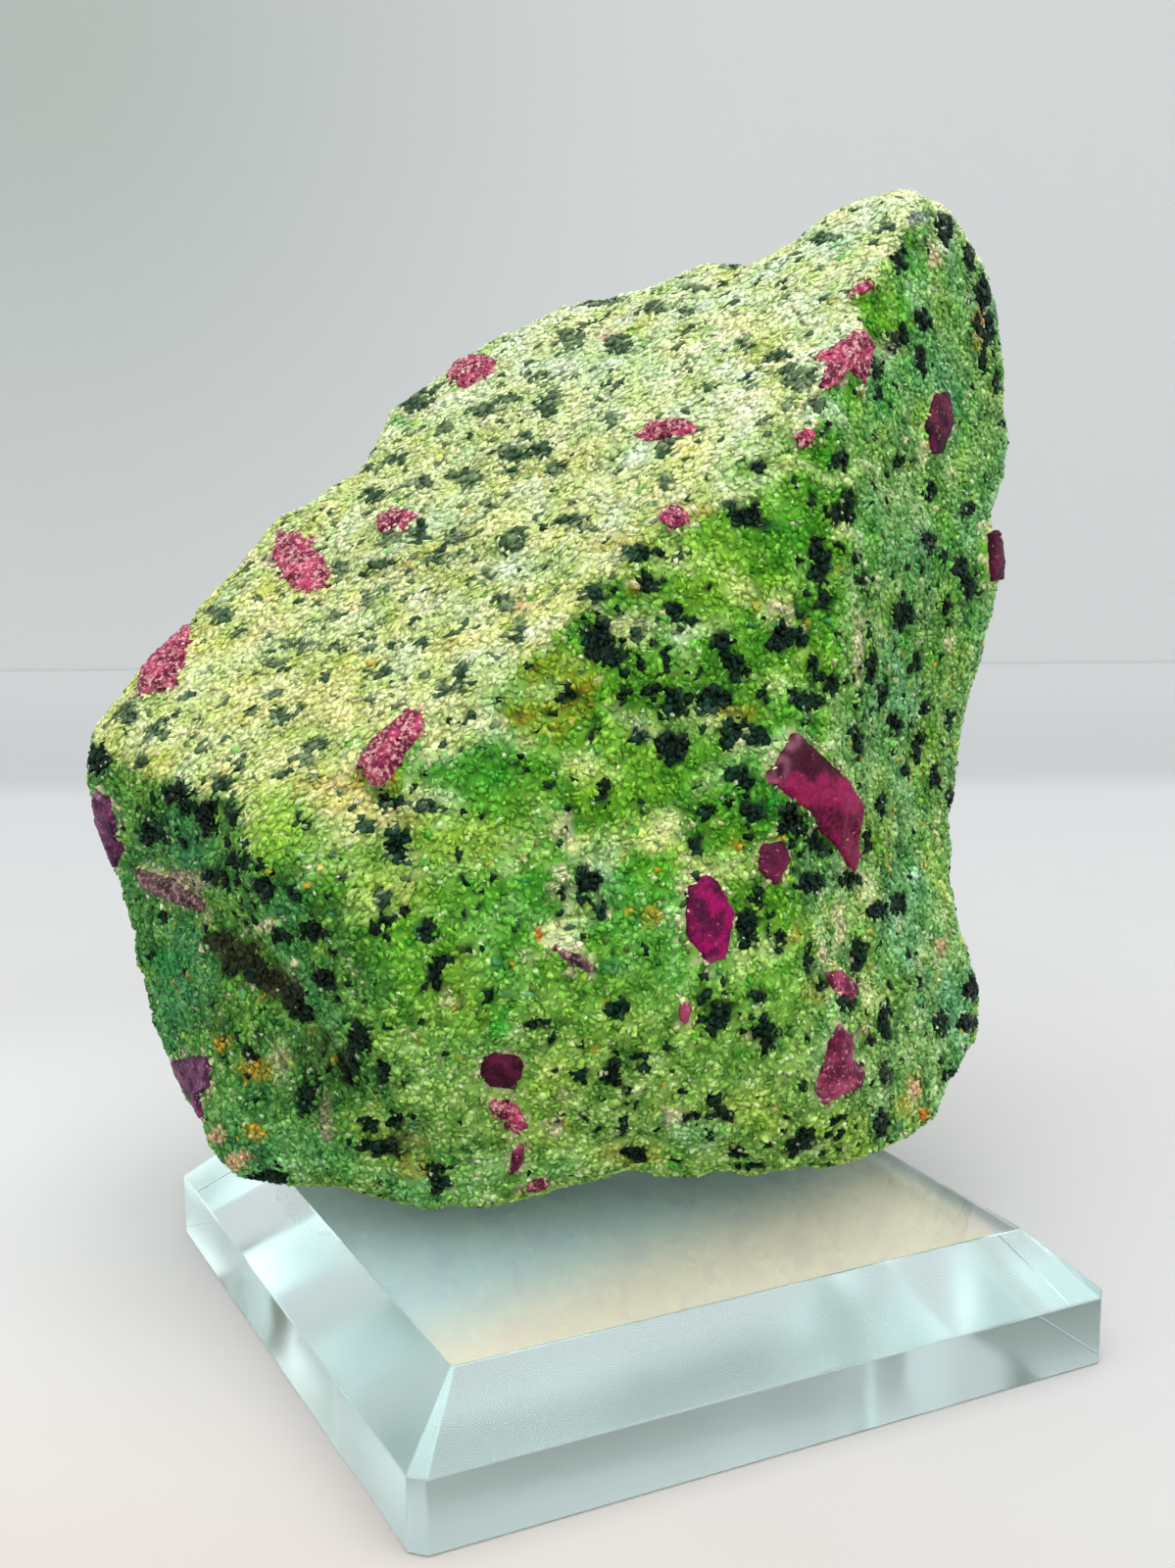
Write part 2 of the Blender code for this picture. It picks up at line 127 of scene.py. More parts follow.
# Black hornblende: (column, row, half width, half height) of each cluster in the picture.
HORNBLENDE = {
    "crest": (
        (420, 405, 18, 13), (453, 434, 8, 7), (402, 467, 15, 6), (378, 503, 11, 8), (495, 416, 17, 8),
        (519, 404, 16, 5), (540, 380, 8, 6), (556, 381, 6, 5), (556, 411, 11, 10), (429, 491, 13, 8),
        (474, 485, 19, 14), (522, 461, 15, 10), (549, 458, 11, 8), (522, 480, 6, 6), (495, 512, 7, 4),
        (534, 443, 8, 4), (581, 344, 14, 12), (630, 351, 15, 12), (617, 305, 20, 4),
    ),
    "slope_high": (
        (839, 242, 19, 5), (746, 270, 8, 4), (710, 293, 13, 6), (668, 312, 13, 6), (701, 317, 10, 6),
        (690, 354, 6, 3), (756, 347, 6, 5), (723, 393, 8, 5), (770, 392, 5, 4), (815, 384, 20, 12),
        (791, 362, 14, 6), (804, 411, 6, 5), (836, 410, 8, 6), (677, 456, 11, 9), (621, 426, 8, 8),
        (566, 405, 8, 14), (566, 476, 11, 8), (773, 476, 9, 7), (680, 488, 8, 8), (578, 530, 16, 6),
        (599, 538, 12, 5), (746, 515, 10, 8), (767, 530, 14, 10),
    ),
    "peak": (
        (920, 262, 6, 16), (944, 326, 8, 13), (965, 235, 9, 20), (1003, 300, 8, 18), (1011, 340, 5, 16),
        (1006, 366, 4, 12), (990, 262, 6, 16), (1018, 392, 3, 14), (998, 330, 4, 8), (923, 341, 6, 12),
        (896, 377, 5, 14), (897, 401, 4, 10), (941, 365, 5, 15), (914, 350, 6, 8),
    ),
    "slope_mid": (
        (222, 625, 14, 8), (240, 647, 7, 4), (300, 655, 16, 4), (279, 674, 12, 6), (322, 632, 6, 4),
        (339, 626, 8, 6), (345, 659, 5, 5), (373, 610, 5, 8), (381, 650, 7, 4), (399, 658, 5, 7),
        (348, 578, 12, 7), (381, 574, 12, 5), (396, 547, 13, 6), (426, 544, 11, 7), (447, 568, 14, 9),
        (462, 547, 12, 9), (495, 584, 7, 8), (522, 548, 12, 12), (552, 578, 7, 4), (474, 616, 7, 4),
        (516, 613, 8, 12), (531, 641, 8, 14), (426, 652, 11, 4), (384, 685, 15, 7), (435, 685, 6, 5),
        (452, 697, 7, 8), (468, 691, 9, 18), (480, 727, 6, 6), (285, 730, 9, 8), (312, 769, 8, 14),
        (324, 758, 10, 7), (243, 778, 8, 9), (255, 724, 7, 3), (282, 791, 5, 4), (204, 733, 5, 4),
    ),
    "left_edge": (
        (129, 727, 13, 12), (153, 745, 11, 8), (99, 775, 13, 17), (144, 775, 5, 11), (225, 796, 13, 8),
        (183, 808, 15, 11), (207, 835, 9, 17), (189, 825, 8, 8), (150, 850, 11, 13), (234, 832, 8, 10),
        (240, 880, 13, 7), (270, 906, 14, 10), (219, 894, 13, 8), (162, 933, 6, 6),
    ),
    "trough": (
        (219, 960, 15, 13), (246, 981, 21, 14), (270, 998, 15, 12), (297, 1017, 13, 14), (306, 1034, 9, 10),
        (285, 957, 12, 8), (318, 951, 15, 10), (328, 1000, 12, 12), (342, 1015, 5, 9), (366, 1062, 15, 14),
        (354, 1089, 12, 16), (390, 1093, 10, 10), (312, 1122, 10, 18), (378, 1149, 10, 8), (405, 1146, 9, 10),
        (252, 1077, 6, 7), (390, 1172, 22, 8), (447, 1203, 10, 15), (276, 1203, 22, 7),
    ),
    "front_high": (
        (608, 607, 10, 15), (612, 649, 15, 18), (629, 672, 8, 13), (605, 667, 10, 9), (635, 712, 6, 13),
        (656, 676, 6, 8), (650, 562, 20, 9), (665, 592, 12, 10), (689, 622, 8, 12), (704, 634, 10, 5),
        (650, 640, 4, 10), (578, 709, 8, 6), (605, 748, 10, 7), (653, 745, 8, 10), (665, 703, 16, 8),
        (689, 715, 14, 16), (686, 766, 14, 18), (677, 754, 8, 8), (728, 712, 19, 14), (737, 655, 10, 16),
        (752, 682, 12, 12), (746, 748, 12, 16), (770, 749, 12, 10), (779, 712, 6, 7), (759, 791, 12, 14),
        (776, 542, 6, 6), (310, 838, 11, 6), (393, 817, 8, 10), (405, 853, 10, 24), (435, 823, 12, 8),
        (459, 830, 10, 4), (372, 841, 8, 8), (540, 793, 5, 8),
    ),
    "front_right": (
        (860, 470, 7, 10), (917, 470, 8, 8), (869, 515, 6, 16), (830, 510, 6, 6), (851, 521, 10, 10),
        (953, 500, 4, 12), (989, 521, 6, 8), (840, 571, 9, 22), (830, 589, 6, 8), (840, 610, 8, 10),
        (800, 652, 12, 15), (824, 655, 5, 14), (833, 685, 10, 16), (849, 698, 8, 10), (824, 715, 20, 11),
        (812, 709, 8, 9), (881, 592, 6, 5), (923, 628, 13, 16), (890, 685, 5, 16), (902, 712, 6, 16),
        (914, 739, 8, 9), (878, 757, 4, 14), (770, 826, 12, 14), (809, 835, 14, 18), (839, 859, 16, 10),
        (887, 859, 5, 14), (713, 859, 12, 12), (764, 856, 4, 8),
    ),
    "right_face": (
        (950, 553, 8, 10), (965, 567, 5, 8), (983, 580, 8, 12), (992, 598, 7, 14), (969, 619, 4, 8),
        (938, 676, 5, 8), (944, 721, 6, 6), (971, 733, 5, 8), (938, 766, 5, 18), (957, 796, 6, 12),
        (927, 784, 4, 6), (902, 823, 5, 12), (971, 814, 4, 8), (896, 930, 12, 9), (917, 921, 9, 12),
        (905, 1041, 8, 20), (962, 1044, 8, 12), (995, 1005, 8, 14), (989, 1044, 10, 10), (1004, 1065, 6, 6),
        (971, 1095, 8, 4), (902, 1149, 8, 14), (905, 1095, 6, 13),
    ),
    "front_low": (
        (599, 897, 12, 12), (611, 927, 10, 12), (617, 814, 8, 12), (563, 805, 5, 8), (581, 826, 4, 5),
        (764, 945, 12, 22), (774, 918, 5, 13), (794, 960, 5, 14), (830, 900, 14, 12), (872, 900, 10, 8),
        (827, 984, 6, 14), (842, 1005, 6, 10), (878, 969, 9, 10), (875, 990, 4, 10), (719, 996, 5, 4),
        (737, 1035, 18, 14), (716, 1020, 8, 6), (728, 1053, 8, 7), (776, 1020, 5, 6), (782, 1056, 14, 18),
        (632, 1035, 12, 10), (564, 1065, 6, 8), (626, 1095, 10, 16), (650, 1080, 10, 4), (596, 1099, 7, 8),
        (641, 1119, 5, 8), (636, 1152, 6, 12), (647, 1179, 12, 8), (695, 1110, 4, 8), (705, 1141, 7, 6),
        (740, 1140, 12, 6), (728, 1125, 8, 6), (725, 1161, 4, 8), (818, 1172, 12, 17), (752, 1179, 10, 6),
        (767, 1191, 12, 4), (854, 1143, 8, 5), (866, 1020, 10, 12), (890, 1062, 5, 5), (390, 915, 12, 10),
        (390, 942, 8, 10), (351, 894, 8, 6), (414, 927, 5, 8), (435, 954, 9, 14), (447, 996, 10, 24),
        (477, 967, 5, 5), (546, 1047, 10, 6), (501, 1020, 5, 6), (585, 845, 5, 6), (573, 862, 3, 5),
        (566, 1150, 4, 5), (592, 872, 3, 4),
    ),
}

# Other colours that the rock shows: (column, row, half width, half height, strength).
TINTS = {
    "ochre": (
        (345, 800, 85, 16, 0.4), (630, 552, 44, 14, 0.35), (644, 595, 12, 9, 0.8), (590, 700, 26, 36, 0.35),
        (770, 613, 8, 8, 0.8), (752, 862, 9, 9, 0.9), (755, 727, 30, 9, 0.5), (400, 838, 40, 18, 0.3),
        (225, 1065, 8, 9, 0.8), (258, 1092, 24, 12, 0.6), (258, 1155, 16, 9, 0.8), (665, 935, 12, 14, 0.5),
        (815, 954, 9, 14, 0.5), (545, 730, 40, 30, 0.35), (700, 520, 40, 12, 0.4), (835, 1010, 22, 18, 0.25),
        (640, 1180, 40, 12, 0.3), (430, 1195, 34, 14, 0.35), (475, 860, 50, 26, 0.3),
        (925, 1130, 16, 14, 0.4), (350, 815, 90, 20, 0.25), (420, 900, 30, 40, 0.25),
        (560, 700, 40, 60, 0.25),
    ),
    "cream": (
        (575, 845, 13, 22, 0.85), (575, 905, 13, 30, 0.7), (566, 1150, 13, 13, 0.95),
        (686, 1140, 11, 12, 0.9), (878, 665, 6, 44, 0.75), (806, 630, 7, 16, 0.85), (793, 618, 10, 6, 0.85),
        (820, 648, 5, 14, 0.8), (955, 257, 10, 20, 0.9), (914, 254, 13, 10, 0.5), (911, 350, 16, 16, 0.5),
        (971, 655, 6, 11, 0.8), (858, 945, 8, 26, 0.7), (841, 972, 6, 16, 0.8), (285, 1085, 12, 22, 0.55),
        (459, 1022, 8, 14, 0.7), (270, 945, 16, 8, 0.6), (312, 1035, 4, 8, 0.8), (540, 975, 16, 8, 0.5),
        (956, 1038, 6, 7, 0.8), (195, 748, 14, 9, 0.7), (255, 570, 34, 9, 0.45), (944, 462, 6, 18, 0.6),
    ),
    "peach": (
        (935, 1110, 10, 12, 0.9), (962, 963, 7, 11, 0.8), (219, 1161, 11, 9, 0.8), (240, 1185, 14, 13, 0.8),
        (327, 612, 10, 5, 0.8), (531, 617, 14, 7, 0.6),
    ),
    "rust": ((945, 1137, 8, 7, 1.0), (548, 951, 5, 5, 0.9), (1000, 330, 7, 26, 0.7)),
    "pink": (
        (177, 900, 40, 13, 0.7), (150, 1041, 11, 8, 0.6), (330, 1140, 10, 34, 0.35), (621, 341, 10, 5, 0.7),
        (885, 1050, 6, 8, 0.5), (873, 975, 8, 8, 0.5), (578, 1120, 10, 10, 0.3),
    ),
    "brown": (
        (235, 968, 36, 24, 0.75), (285, 1005, 30, 26, 0.7), (330, 1075, 34, 30, 0.4),
        (420, 1165, 34, 26, 0.5), (905, 1098, 9, 22, 0.5), (215, 1043, 16, 10, 0.4), (911, 345, 14, 14, 0.35),
    ),
    "emerald": (
        (510, 1045, 13, 20, 0.95), (495, 1020, 6, 12, 0.9), (508, 797, 26, 15, 0.6), (283, 833, 10, 12, 0.6),
        (186, 832, 10, 9, 0.7), (285, 866, 8, 8, 0.4), (470, 1050, 16, 30, 0.35), (930, 275, 22, 20, 0.6),
        (905, 410, 22, 30, 0.5), (640, 950, 30, 18, 0.4), (644, 333, 6, 5, 0.9), (408, 430, 16, 9, 0.6),
        (820, 560, 26, 40, 0.3), (168, 985, 24, 18, 0.45), (206, 1070, 10, 8, 0.6), (690, 590, 34, 22, 0.3),
    ),
    "teal": (
        (190, 990, 40, 60, 0.4), (170, 870, 34, 50, 0.35), (975, 400, 34, 70, 0.3), (1000, 470, 20, 40, 0.3),
        (635, 985, 30, 14, 0.45), (960, 1020, 40, 40, 0.35), (905, 1150, 24, 22, 0.5),
        (340, 880, 26, 22, 0.35), (930, 560, 40, 60, 0.25), (610, 900, 40, 18, 0.3),
    ),
    "grey": (
        (938, 221, 15, 9, 0.95), (974, 225, 8, 12, 0.6), (1012, 320, 8, 24, 0.4), (525, 548, 12, 12, 0.4),
    ),
    "leaf": (
        (285, 850, 62, 62, 0.75), (370, 885, 70, 50, 0.7), (460, 880, 70, 60, 0.65), (530, 830, 60, 50, 0.5),
        (730, 575, 50, 40, 0.4),
    ),
    "deep": (
        (640, 640, 60, 90, 0.45), (700, 720, 70, 60, 0.5), (760, 720, 40, 60, 0.4), (740, 800, 70, 40, 0.35),
        (880, 700, 30, 80, 0.35), (830, 860, 60, 50, 0.45), (770, 935, 30, 50, 0.35),
        (450, 560, 110, 50, 0.3), (540, 470, 90, 40, 0.22), (840, 560, 30, 80, 0.35),
        (850, 1165, 60, 30, 0.35), (600, 905, 26, 50, 0.3), (410, 860, 40, 50, 0.4), (600, 920, 40, 40, 0.3),
        (190, 840, 80, 50, 0.4), (270, 910, 80, 40, 0.45), (440, 970, 50, 50, 0.2), (750, 1040, 60, 50, 0.25),
        (640, 1140, 60, 40, 0.3), (930, 640, 50, 120, 0.25), (340, 1100, 60, 50, 0.35),
        (800, 640, 50, 50, 0.35),
    ),
    "lime": (
        (275, 840, 30, 50, 0.6), (455, 850, 50, 36, 0.4), (725, 580, 44, 44, 0.4), (470, 1010, 50, 60, 0.3),
        (700, 590, 60, 40, 0.35), (620, 780, 50, 50, 0.25), (530, 1140, 40, 40, 0.3),
        (280, 845, 26, 30, 0.45), (860, 1150, 40, 22, 0.4), (755, 960, 50, 40, 0.2),
    ),
}

# ---------- small tools

FOLIATION = np.array((0.82, -0.20, 0.54))  # the direction along which grains and dark streaks lie
FOLIATION /= np.linalg.norm(FOLIATION)
STREAK_SQUEEZE = 0.7
SEED_STEP = (1.0, 0.7, -1.0)


def read_vectors(items, key="co"):
    values = np.empty(len(items) * 3)
    items.foreach_get(key, values)
    return values.reshape(-1, 3)


def mesh_from(name, points, triangles):
    mesh = bpy.data.meshes.new(name)
    mesh.vertices.add(len(points))
    mesh.vertices.foreach_set("co", np.asarray(points, np.float32).ravel())
    mesh.loops.add(len(triangles) * 3)
    mesh.loops.foreach_set("vertex_index", np.asarray(triangles, np.int32).ravel())
    mesh.polygons.add(len(triangles))
    mesh.polygons.foreach_set("loop_start", np.arange(len(triangles), dtype=np.int32) * 3)
    mesh.update(calc_edges=True)
    return mesh


def add_piece(name, mesh, surface):
    piece = bpy.data.objects.new(name, mesh)
    bpy.context.scene.collection.objects.link(piece)
    mesh.materials.clear()
    mesh.materials.append(surface)
    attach(piece, "root")
    return piece


def colour_points(mesh, colours):
    """Gives each vertex its colour, as the attribute that Nodes.tone reads."""
    layer = mesh.color_attributes.new("tone", "FLOAT_COLOR", "POINT")
    layer.data.foreach_set("color", np.column_stack((colours, np.ones(len(colours)))).ravel())


def noise_at(points, size, seed=0.0):
    """Smooth noise, about -1 to 1, whose swells are that many millimetres across."""
    shift = Vector([seed * step for step in SEED_STEP])
    return np.array([noise.noise(Vector(point) / (size * MM) + shift) for point in points])


def streaked(points):
    """The points drawn together along the foliation, so that noise at them makes streaks."""
    return points - STREAK_SQUEEZE * (points @ FOLIATION)[:, None] * FOLIATION


def smoothstep(low, high, value):
    share = np.clip((value - low) / (high - low), 0.0, 1.0)
    return share * share * (3.0 - 2.0 * share)


def mixed(first, second, share):
    return first * (1.0 - share) + second * share


def linear(red, green, blue):
    """A colour given as screen values from 0 to 255, for a shader."""
    value = np.array((red, green, blue)) / 255.0
    return np.where(value <= 0.04045, value / 12.92, ((value + 0.055) / 1.055) ** 2.4)


def ruby_nodes():
    return [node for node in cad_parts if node.startswith("ruby_")]


def joined(nodes):
    form = bmesh.new()
    for node in nodes:
        form.from_mesh(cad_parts[node].data)
    return form


def tree_of(nodes):
    form = joined(nodes)
    tree = BVHTree.FromBMesh(form)
    form.free()
    return tree


def remeshed(name, nodes, voxel):
    """One closed mesh around CAD nodes, with a vertex about every voxel."""
    form, mesh = joined(nodes), bpy.data.meshes.new(name)
    form.to_mesh(mesh)
    form.free()
    holder = bpy.data.objects.new(name, mesh)
    bpy.context.scene.collection.objects.link(holder)
    remesh = holder.modifiers.new("even mesh", "REMESH")
    remesh.mode = "VOXEL"
    remesh.voxel_size = voxel * MM
    bpy.context.view_layer.update()
    made = bpy.data.meshes.new_from_object(holder.evaluated_get(bpy.context.evaluated_depsgraph_get()))
    bpy.data.objects.remove(holder)
    return made


# ---------- materials

NOISE_MIDDLE = (0.3, 0.7)  # nearly all of a noise's values lie between these
BLACK, WHITE = (0, 0, 0), (1, 1, 1)


class Nodes:
    """Short calls for the node tree of a material or a world. Sizes are in millimetres."""

    def __init__(self, owner):
        owner.use_nodes = True
        self.owner, self.tree = owner, owner.node_tree

    def join(self, socket, value):
        if isinstance(value, bpy.types.NodeSocket):
            self.tree.links.new(value, socket)
        else:
            socket.default_value = (*value, 1.0) if socket.type == "RGBA" else value

    def add(self, kind, links=(), **values):
        node = self.tree.nodes.new("ShaderNode" + kind)
        for key, value in values.items():
            setattr(node, key, value)
        for socket, value in dict(links).items():
            self.join(node.inputs[socket], value)
        return node

    def shade(self, **values):
        for name, value in values.items():
            self.join(self.tree.nodes["Principled BSDF"].inputs[name.replace("_", " ")], value)

    def place(self):
        return self.add("TexCoord").outputs["Object"]

    def tone(self):
        """The colour that colour_points gave."""
        return self.add("Attribute", attribute_name="tone").outputs["Color"]

    def noise(self, size, detail=3.0, roughness=0.5):
        values = {"Scale": 1.0 / (size * MM), "Detail": detail, "Roughness": roughness}
        return self.add("TexNoise", {"Vector": self.place(), **values}).outputs["Fac"]

    def cells(self, size):
        """Two random values for each cell about that far across, and the distance to its middle."""
        node = self.add("TexVoronoi", {"Vector": self.place(), "Scale": 1.0 / (size * MM)})
        shares = self.add("SeparateColor", {"Color": node.outputs["Color"]})
        return shares.outputs["Red"], shares.outputs["Green"], node.outputs["Distance"]

    def blend(self, operation, first, second=0.0):
        return self.add("Math", {0: first, 1: second}, operation=operation).outputs["Value"]

    def measure(self, operation, vector):
        return self.add("VectorMath", {0: self.place(), 1: vector}, operation=operation).outputs["Value"]

    def rescale(self, value, start, end, low=0.0, high=1.0, steps="LINEAR"):
        """The value, which runs from start to end, made to run from low to high."""
        links = {"Value": value, "From Min": start, "From Max": end, "To Min": low, "To Max": high}
        return self.add("MapRange", links, interpolation_type=steps).outputs["Result"]

    def spread(self, noise, low, high):
        return self.rescale(noise, *NOISE_MIDDLE, low, high)

    def fade(self, value, reach):
        """From 1 where the value is at the reach's start to 0 at its end."""
        return self.rescale(value, *reach, 1.0, 0.0, "SMOOTHSTEP")

    def mix(self, share, first, second, blend="MIX"):
        node = self.add("Mix", data_type="RGBA", blend_type=blend)
        for index, value in ((0, share), (6, first), (7, second)):
            self.join(node.inputs[index], value)
        return node.outputs[2]

    def lit(self, colour, light):
        grey = self.add("CombineColor", {"Red": light, "Green": light, "Blue": light}).outputs["Color"]
        return self.mix(1.0, colour, grey, "MULTIPLY")

    def ramp(self, value, *stops):
        node = self.add("ValToRGB", {"Fac": value})
        elements = node.color_ramp.elements
        while len(elements) < len(stops):
            elements.new(0.5)
        for element, (position, colour) in zip(elements, stops):
            element.position = position
            element.color = (*colour, 1.0)
        return node.outputs["Color"]

    def bump(self, height, distance):
        return self.add("Bump", {"Height": height, "Distance": distance * MM}).outputs["Normal"]


STONE_IOR = 1.5
# Of each kind of grain: roughness, bump, glow, shine and the share of cells with painted glints.
ZOISITE_LOOK = ((0.12, 0.5), 0.16, 0.3, 0.16, 0.018)
HORNBLENDE_LOOK = ((0.08, 0.32), 0.10, 0.0, 0.09, 0.004)
CRUSHED_LOOK = ((0.25, 0.6), 0.14, 0.1, 0.12, 0.02)
SUGAR_SIZE = 0.55
SUGAR_LIGHT = (0.74, 1.26)  # darkest and brightest
CLOUD_LIGHT = (0.88, 1.14)
# Painted glints: a share of the sugary cells is painted whitish in the base colour.
GLINT_SHARE = 0.45
GLINT_EDGE = 0.01
GLINT_COLOUR = linear(232, 242, 206)
CRUMB_HEIGHT = 0.4
GLOW_DEPTH = 0.0012  # metres that light spreads inside a grain
GLOW_REACH = (0.7, 1.0, 0.5)


def grain_material(name, roughness, bump, glow, shine, glints):
    """Broken grains: each has its tone, with sugary cells, dull and glossy spots and a fine broken skin.

    A share of the cells is painted whitish as painted glints.
    """
    made = Nodes(bpy.data.materials.new(name))
    cell, glint, distance = made.cells(SUGAR_SIZE)
    sugar = made.rescale(cell, 0.0, 1.0, *SUGAR_LIGHT)
    cloud = made.blend("MULTIPLY", made.spread(made.noise(size=0.7), *CLOUD_LIGHT), sugar)
    # Painted glints in the base colour.
    glinting = made.ramp(glint, (1.0 - glints - GLINT_EDGE, BLACK), (1.0 - glints, (GLINT_SHARE,) * 3))
    crumbs = made.blend("MULTIPLY", made.noise(size=0.35, detail=4.0, roughness=0.6), CRUMB_HEIGHT)
    made.shade(
        Base_Color=made.mix(glinting, made.lit(made.tone(), cloud), GLINT_COLOUR),
        Roughness=made.spread(made.noise(size=0.9), *roughness),
        Normal=made.bump(made.blend("SUBTRACT", crumbs, distance), bump),
        IOR=STONE_IOR,
        Specular_IOR_Level=shine,
        Subsurface_Weight=glow,
        Subsurface_Scale=GLOW_DEPTH,
        Subsurface_Radius=GLOW_REACH,
    )
    return made.owner


def skin_material():
    """The rock between its grains: the grains' own tones darkened as painted shade, cloudier and more matt.
    """
    made = Nodes(bpy.data.materials.new("zoisite_skin"))
    cloud = made.spread(made.noise(size=0.8, detail=5.0), 0.6, 1.15)
    made.shade(
        Base_Color=made.lit(made.tone(), cloud),
        Roughness=made.spread(made.noise(size=1.5), 0.35, 0.75),
        Specular_IOR_Level=0.1,
        Normal=made.bump(made.noise(size=0.6, detail=5.0, roughness=0.65), 0.2),
    )
    return made.owner


STRIAE = {"Scale": (1.0, 0.35, 1.0), "Rotation": (0.5, 0.3, 0.9)}  # how the crystals' fine lines lie
STRIAE_NOISE = {"Scale": 900.0, "Detail": 4.0, "Roughness": 0.6}
PATCH_STOPS = (0.34, 0.46, 0.58, 0.72)
CRUSHED_EDGE = 0.09


def ruby_material(name, crushed_from, deep, bright, pale):
    """Granular corundum: deep and bright patches, fine parting lines and pale crushed spots.

    The tone's red is the share of crushed rim, and its green how bright the crystal is.
    """
    made = Nodes(bpy.data.materials.new(name))
    stretched = made.add("Mapping", {"Vector": made.place(), **STRIAE}).outputs["Vector"]
    lines = made.add("TexNoise", {"Vector": stretched, **STRIAE_NOISE}).outputs["Fac"]
    shares = made.add("SeparateColor", {"Color": made.tone()}).outputs
    light = made.blend("ADD", made.noise(size=0.75, detail=4.0, roughness=0.7), shares["Green"])
    row = (deep * 0.7, deep, bright, bright * 1.3)
    patches = made.ramp(made.blend("MULTIPLY", light, 0.5), *zip(PATCH_STOPS, row))
    lined = made.mix(made.spread(lines, 0.0, 0.5), patches, deep * 0.6)
    spots = made.noise(size=0.8, detail=4.0, roughness=0.75)
    spots = made.ramp(spots, (crushed_from, BLACK), (crushed_from + CRUSHED_EDGE, WHITE))
    crushed = made.mix(spots, lined, bright * 0.35 + pale * 0.65)
    made.shade(
        Base_Color=made.mix(shares["Red"], crushed, pale),
        Roughness=made.spread(made.noise(size=0.8), 0.22, 0.6),
        Normal=made.bump(made.noise(size=0.45, detail=4.0, roughness=0.7), 0.2),
        IOR=STONE_IOR,
        Specular_IOR_Level=0.1,
    )
    return made.owner


GLASS_IOR = 1.46
GLASS_COLOUR = linear(250, 254, 254)
GLASS_DEPTH = {"Color": (0.55, 0.91, 0.88), "Density": 3.2}
GLASS_WAVES = 0.012
SCUFFS = 0.03
SATIN = 0.12  # of the underside
SATIN_TOP = 0.05


def glass_material():
    """Clear pale aqua glass with polished faces, faint scuffs and a satin underside."""
    made = Nodes(bpy.data.materials.new("clear_glass"))
    scuffs = made.spread(made.noise(size=1.4, detail=6.0, roughness=0.75), 0.0, SCUFFS)
    height = made.add("SeparateXYZ", {"Vector": made.place()}).outputs["Z"]
    satin = made.rescale(height, 0.0, SATIN_TOP * MM, SATIN, 0.0)
    made.shade(
        Base_Color=GLASS_COLOUR,
        Roughness=made.blend("ADD", scuffs, satin),
        Normal=made.bump(made.noise(size=9.0, detail=2.0), GLASS_WAVES),
        IOR=GLASS_IOR,
        Transmission_Weight=1.0,
    )
    depth = made.add("VolumeAbsorption", GLASS_DEPTH)
    made.tree.links.new(depth.outputs["Volume"], made.tree.nodes["Material Output"].inputs["Volume"])
    return made.owner


# ---------- grains

SKIN_VOXEL = 1.03
SKIN_INSET = 0.55
SKIN_RELIEF = 0.35
# The skin between the grains is darker than they are: painted shade.
SKIN_PAINTED_SHADE = 0.85
STONE_SHADE = 0.82
PLACE_JITTER = 0.34
HOLLOW_DEPTH = 0.5
GRAIN_POINTS = 7
GRAIN_KINDS = 16
CORNER_REACH = (0.82, 1.0)  # of a chip's corners, as shares of its radius
GRAIN_LENGTHS = (0.72, 1.28)  # of a chip along its own axes
GRAIN_FLAT = 0.68
GRAIN_STRETCH = 0.4  # of the chips on upward surfaces along the foliation
TOP_FLATTER = 0.25
GRAIN_SUNK = 0.85
SMALLEST_GRAIN, GRAIN_RANGE, SMALL_BIAS = 0.58, 0.62, 1.6
UPWARD = (0.3, 0.6)  # upward parts of the normals over which a surface comes to count as upward

TONES = {
    "ochre": linear(204, 160, 36), "cream": linear(228, 218, 172), "peach": linear(226, 178, 140),
    "rust": linear(204, 112, 30), "pink": linear(190, 128, 140), "brown": linear(78, 76, 44),
    "deep": linear(30, 84, 20), "leaf": linear(110, 176, 50),
    "emerald": linear(24, 160, 40), "teal": linear(44, 132, 92), "grey": linear(126, 142, 138),
    "lime": linear(166, 212, 66),
}
TINT_STRENGTHS = {"deep": 0.6}
TINT_SPREAD = (0.5, 1.5)
ACCENTS = ("ochre", "cream", "emerald", "teal", "lime", "brown")
ACCENT_SHARE = 0.04
ACCENT_STRENGTH = 0.65


def tone_row(*tones):
    return np.array([linear(*tone) for tone in tones])


# The tones of each side from deep to pale; noise gives a grain's place in the row.
FRONT_TONES = tone_row((34, 100, 14), (72, 148, 26), (108, 182, 44), (144, 208, 74), (196, 230, 140))
SLOPE_TONES = tone_row((134, 170, 66), (184, 206, 110), (212, 226, 150), (232, 240, 182), (250, 252, 220))
CREST_TONES = tone_row((136, 182, 88), (192, 220, 140), (220, 238, 182), (238, 248, 208), (253, 255, 236))
LOW_TONES = tone_row((58, 106, 38), (118, 162, 68), (164, 200, 106), (198, 224, 146), (228, 240, 190))
SHADY_TONES = tone_row((28, 82, 34), (62, 124, 52), (96, 160, 70), (130, 186, 88), (176, 208, 134))
SAGE_TONES = tone_row((46, 98, 44), (94, 146, 70), (134, 182, 100), (166, 206, 130), (210, 232, 180))
DARK_TONES = tone_row((2, 14, 6), (8, 30, 18), (18, 52, 34), (56, 84, 58), (122, 142, 100))
RUBY_TONES = tone_row((70, 6, 36), (124, 22, 62), (176, 62, 100), (212, 130, 146), (240, 206, 190))

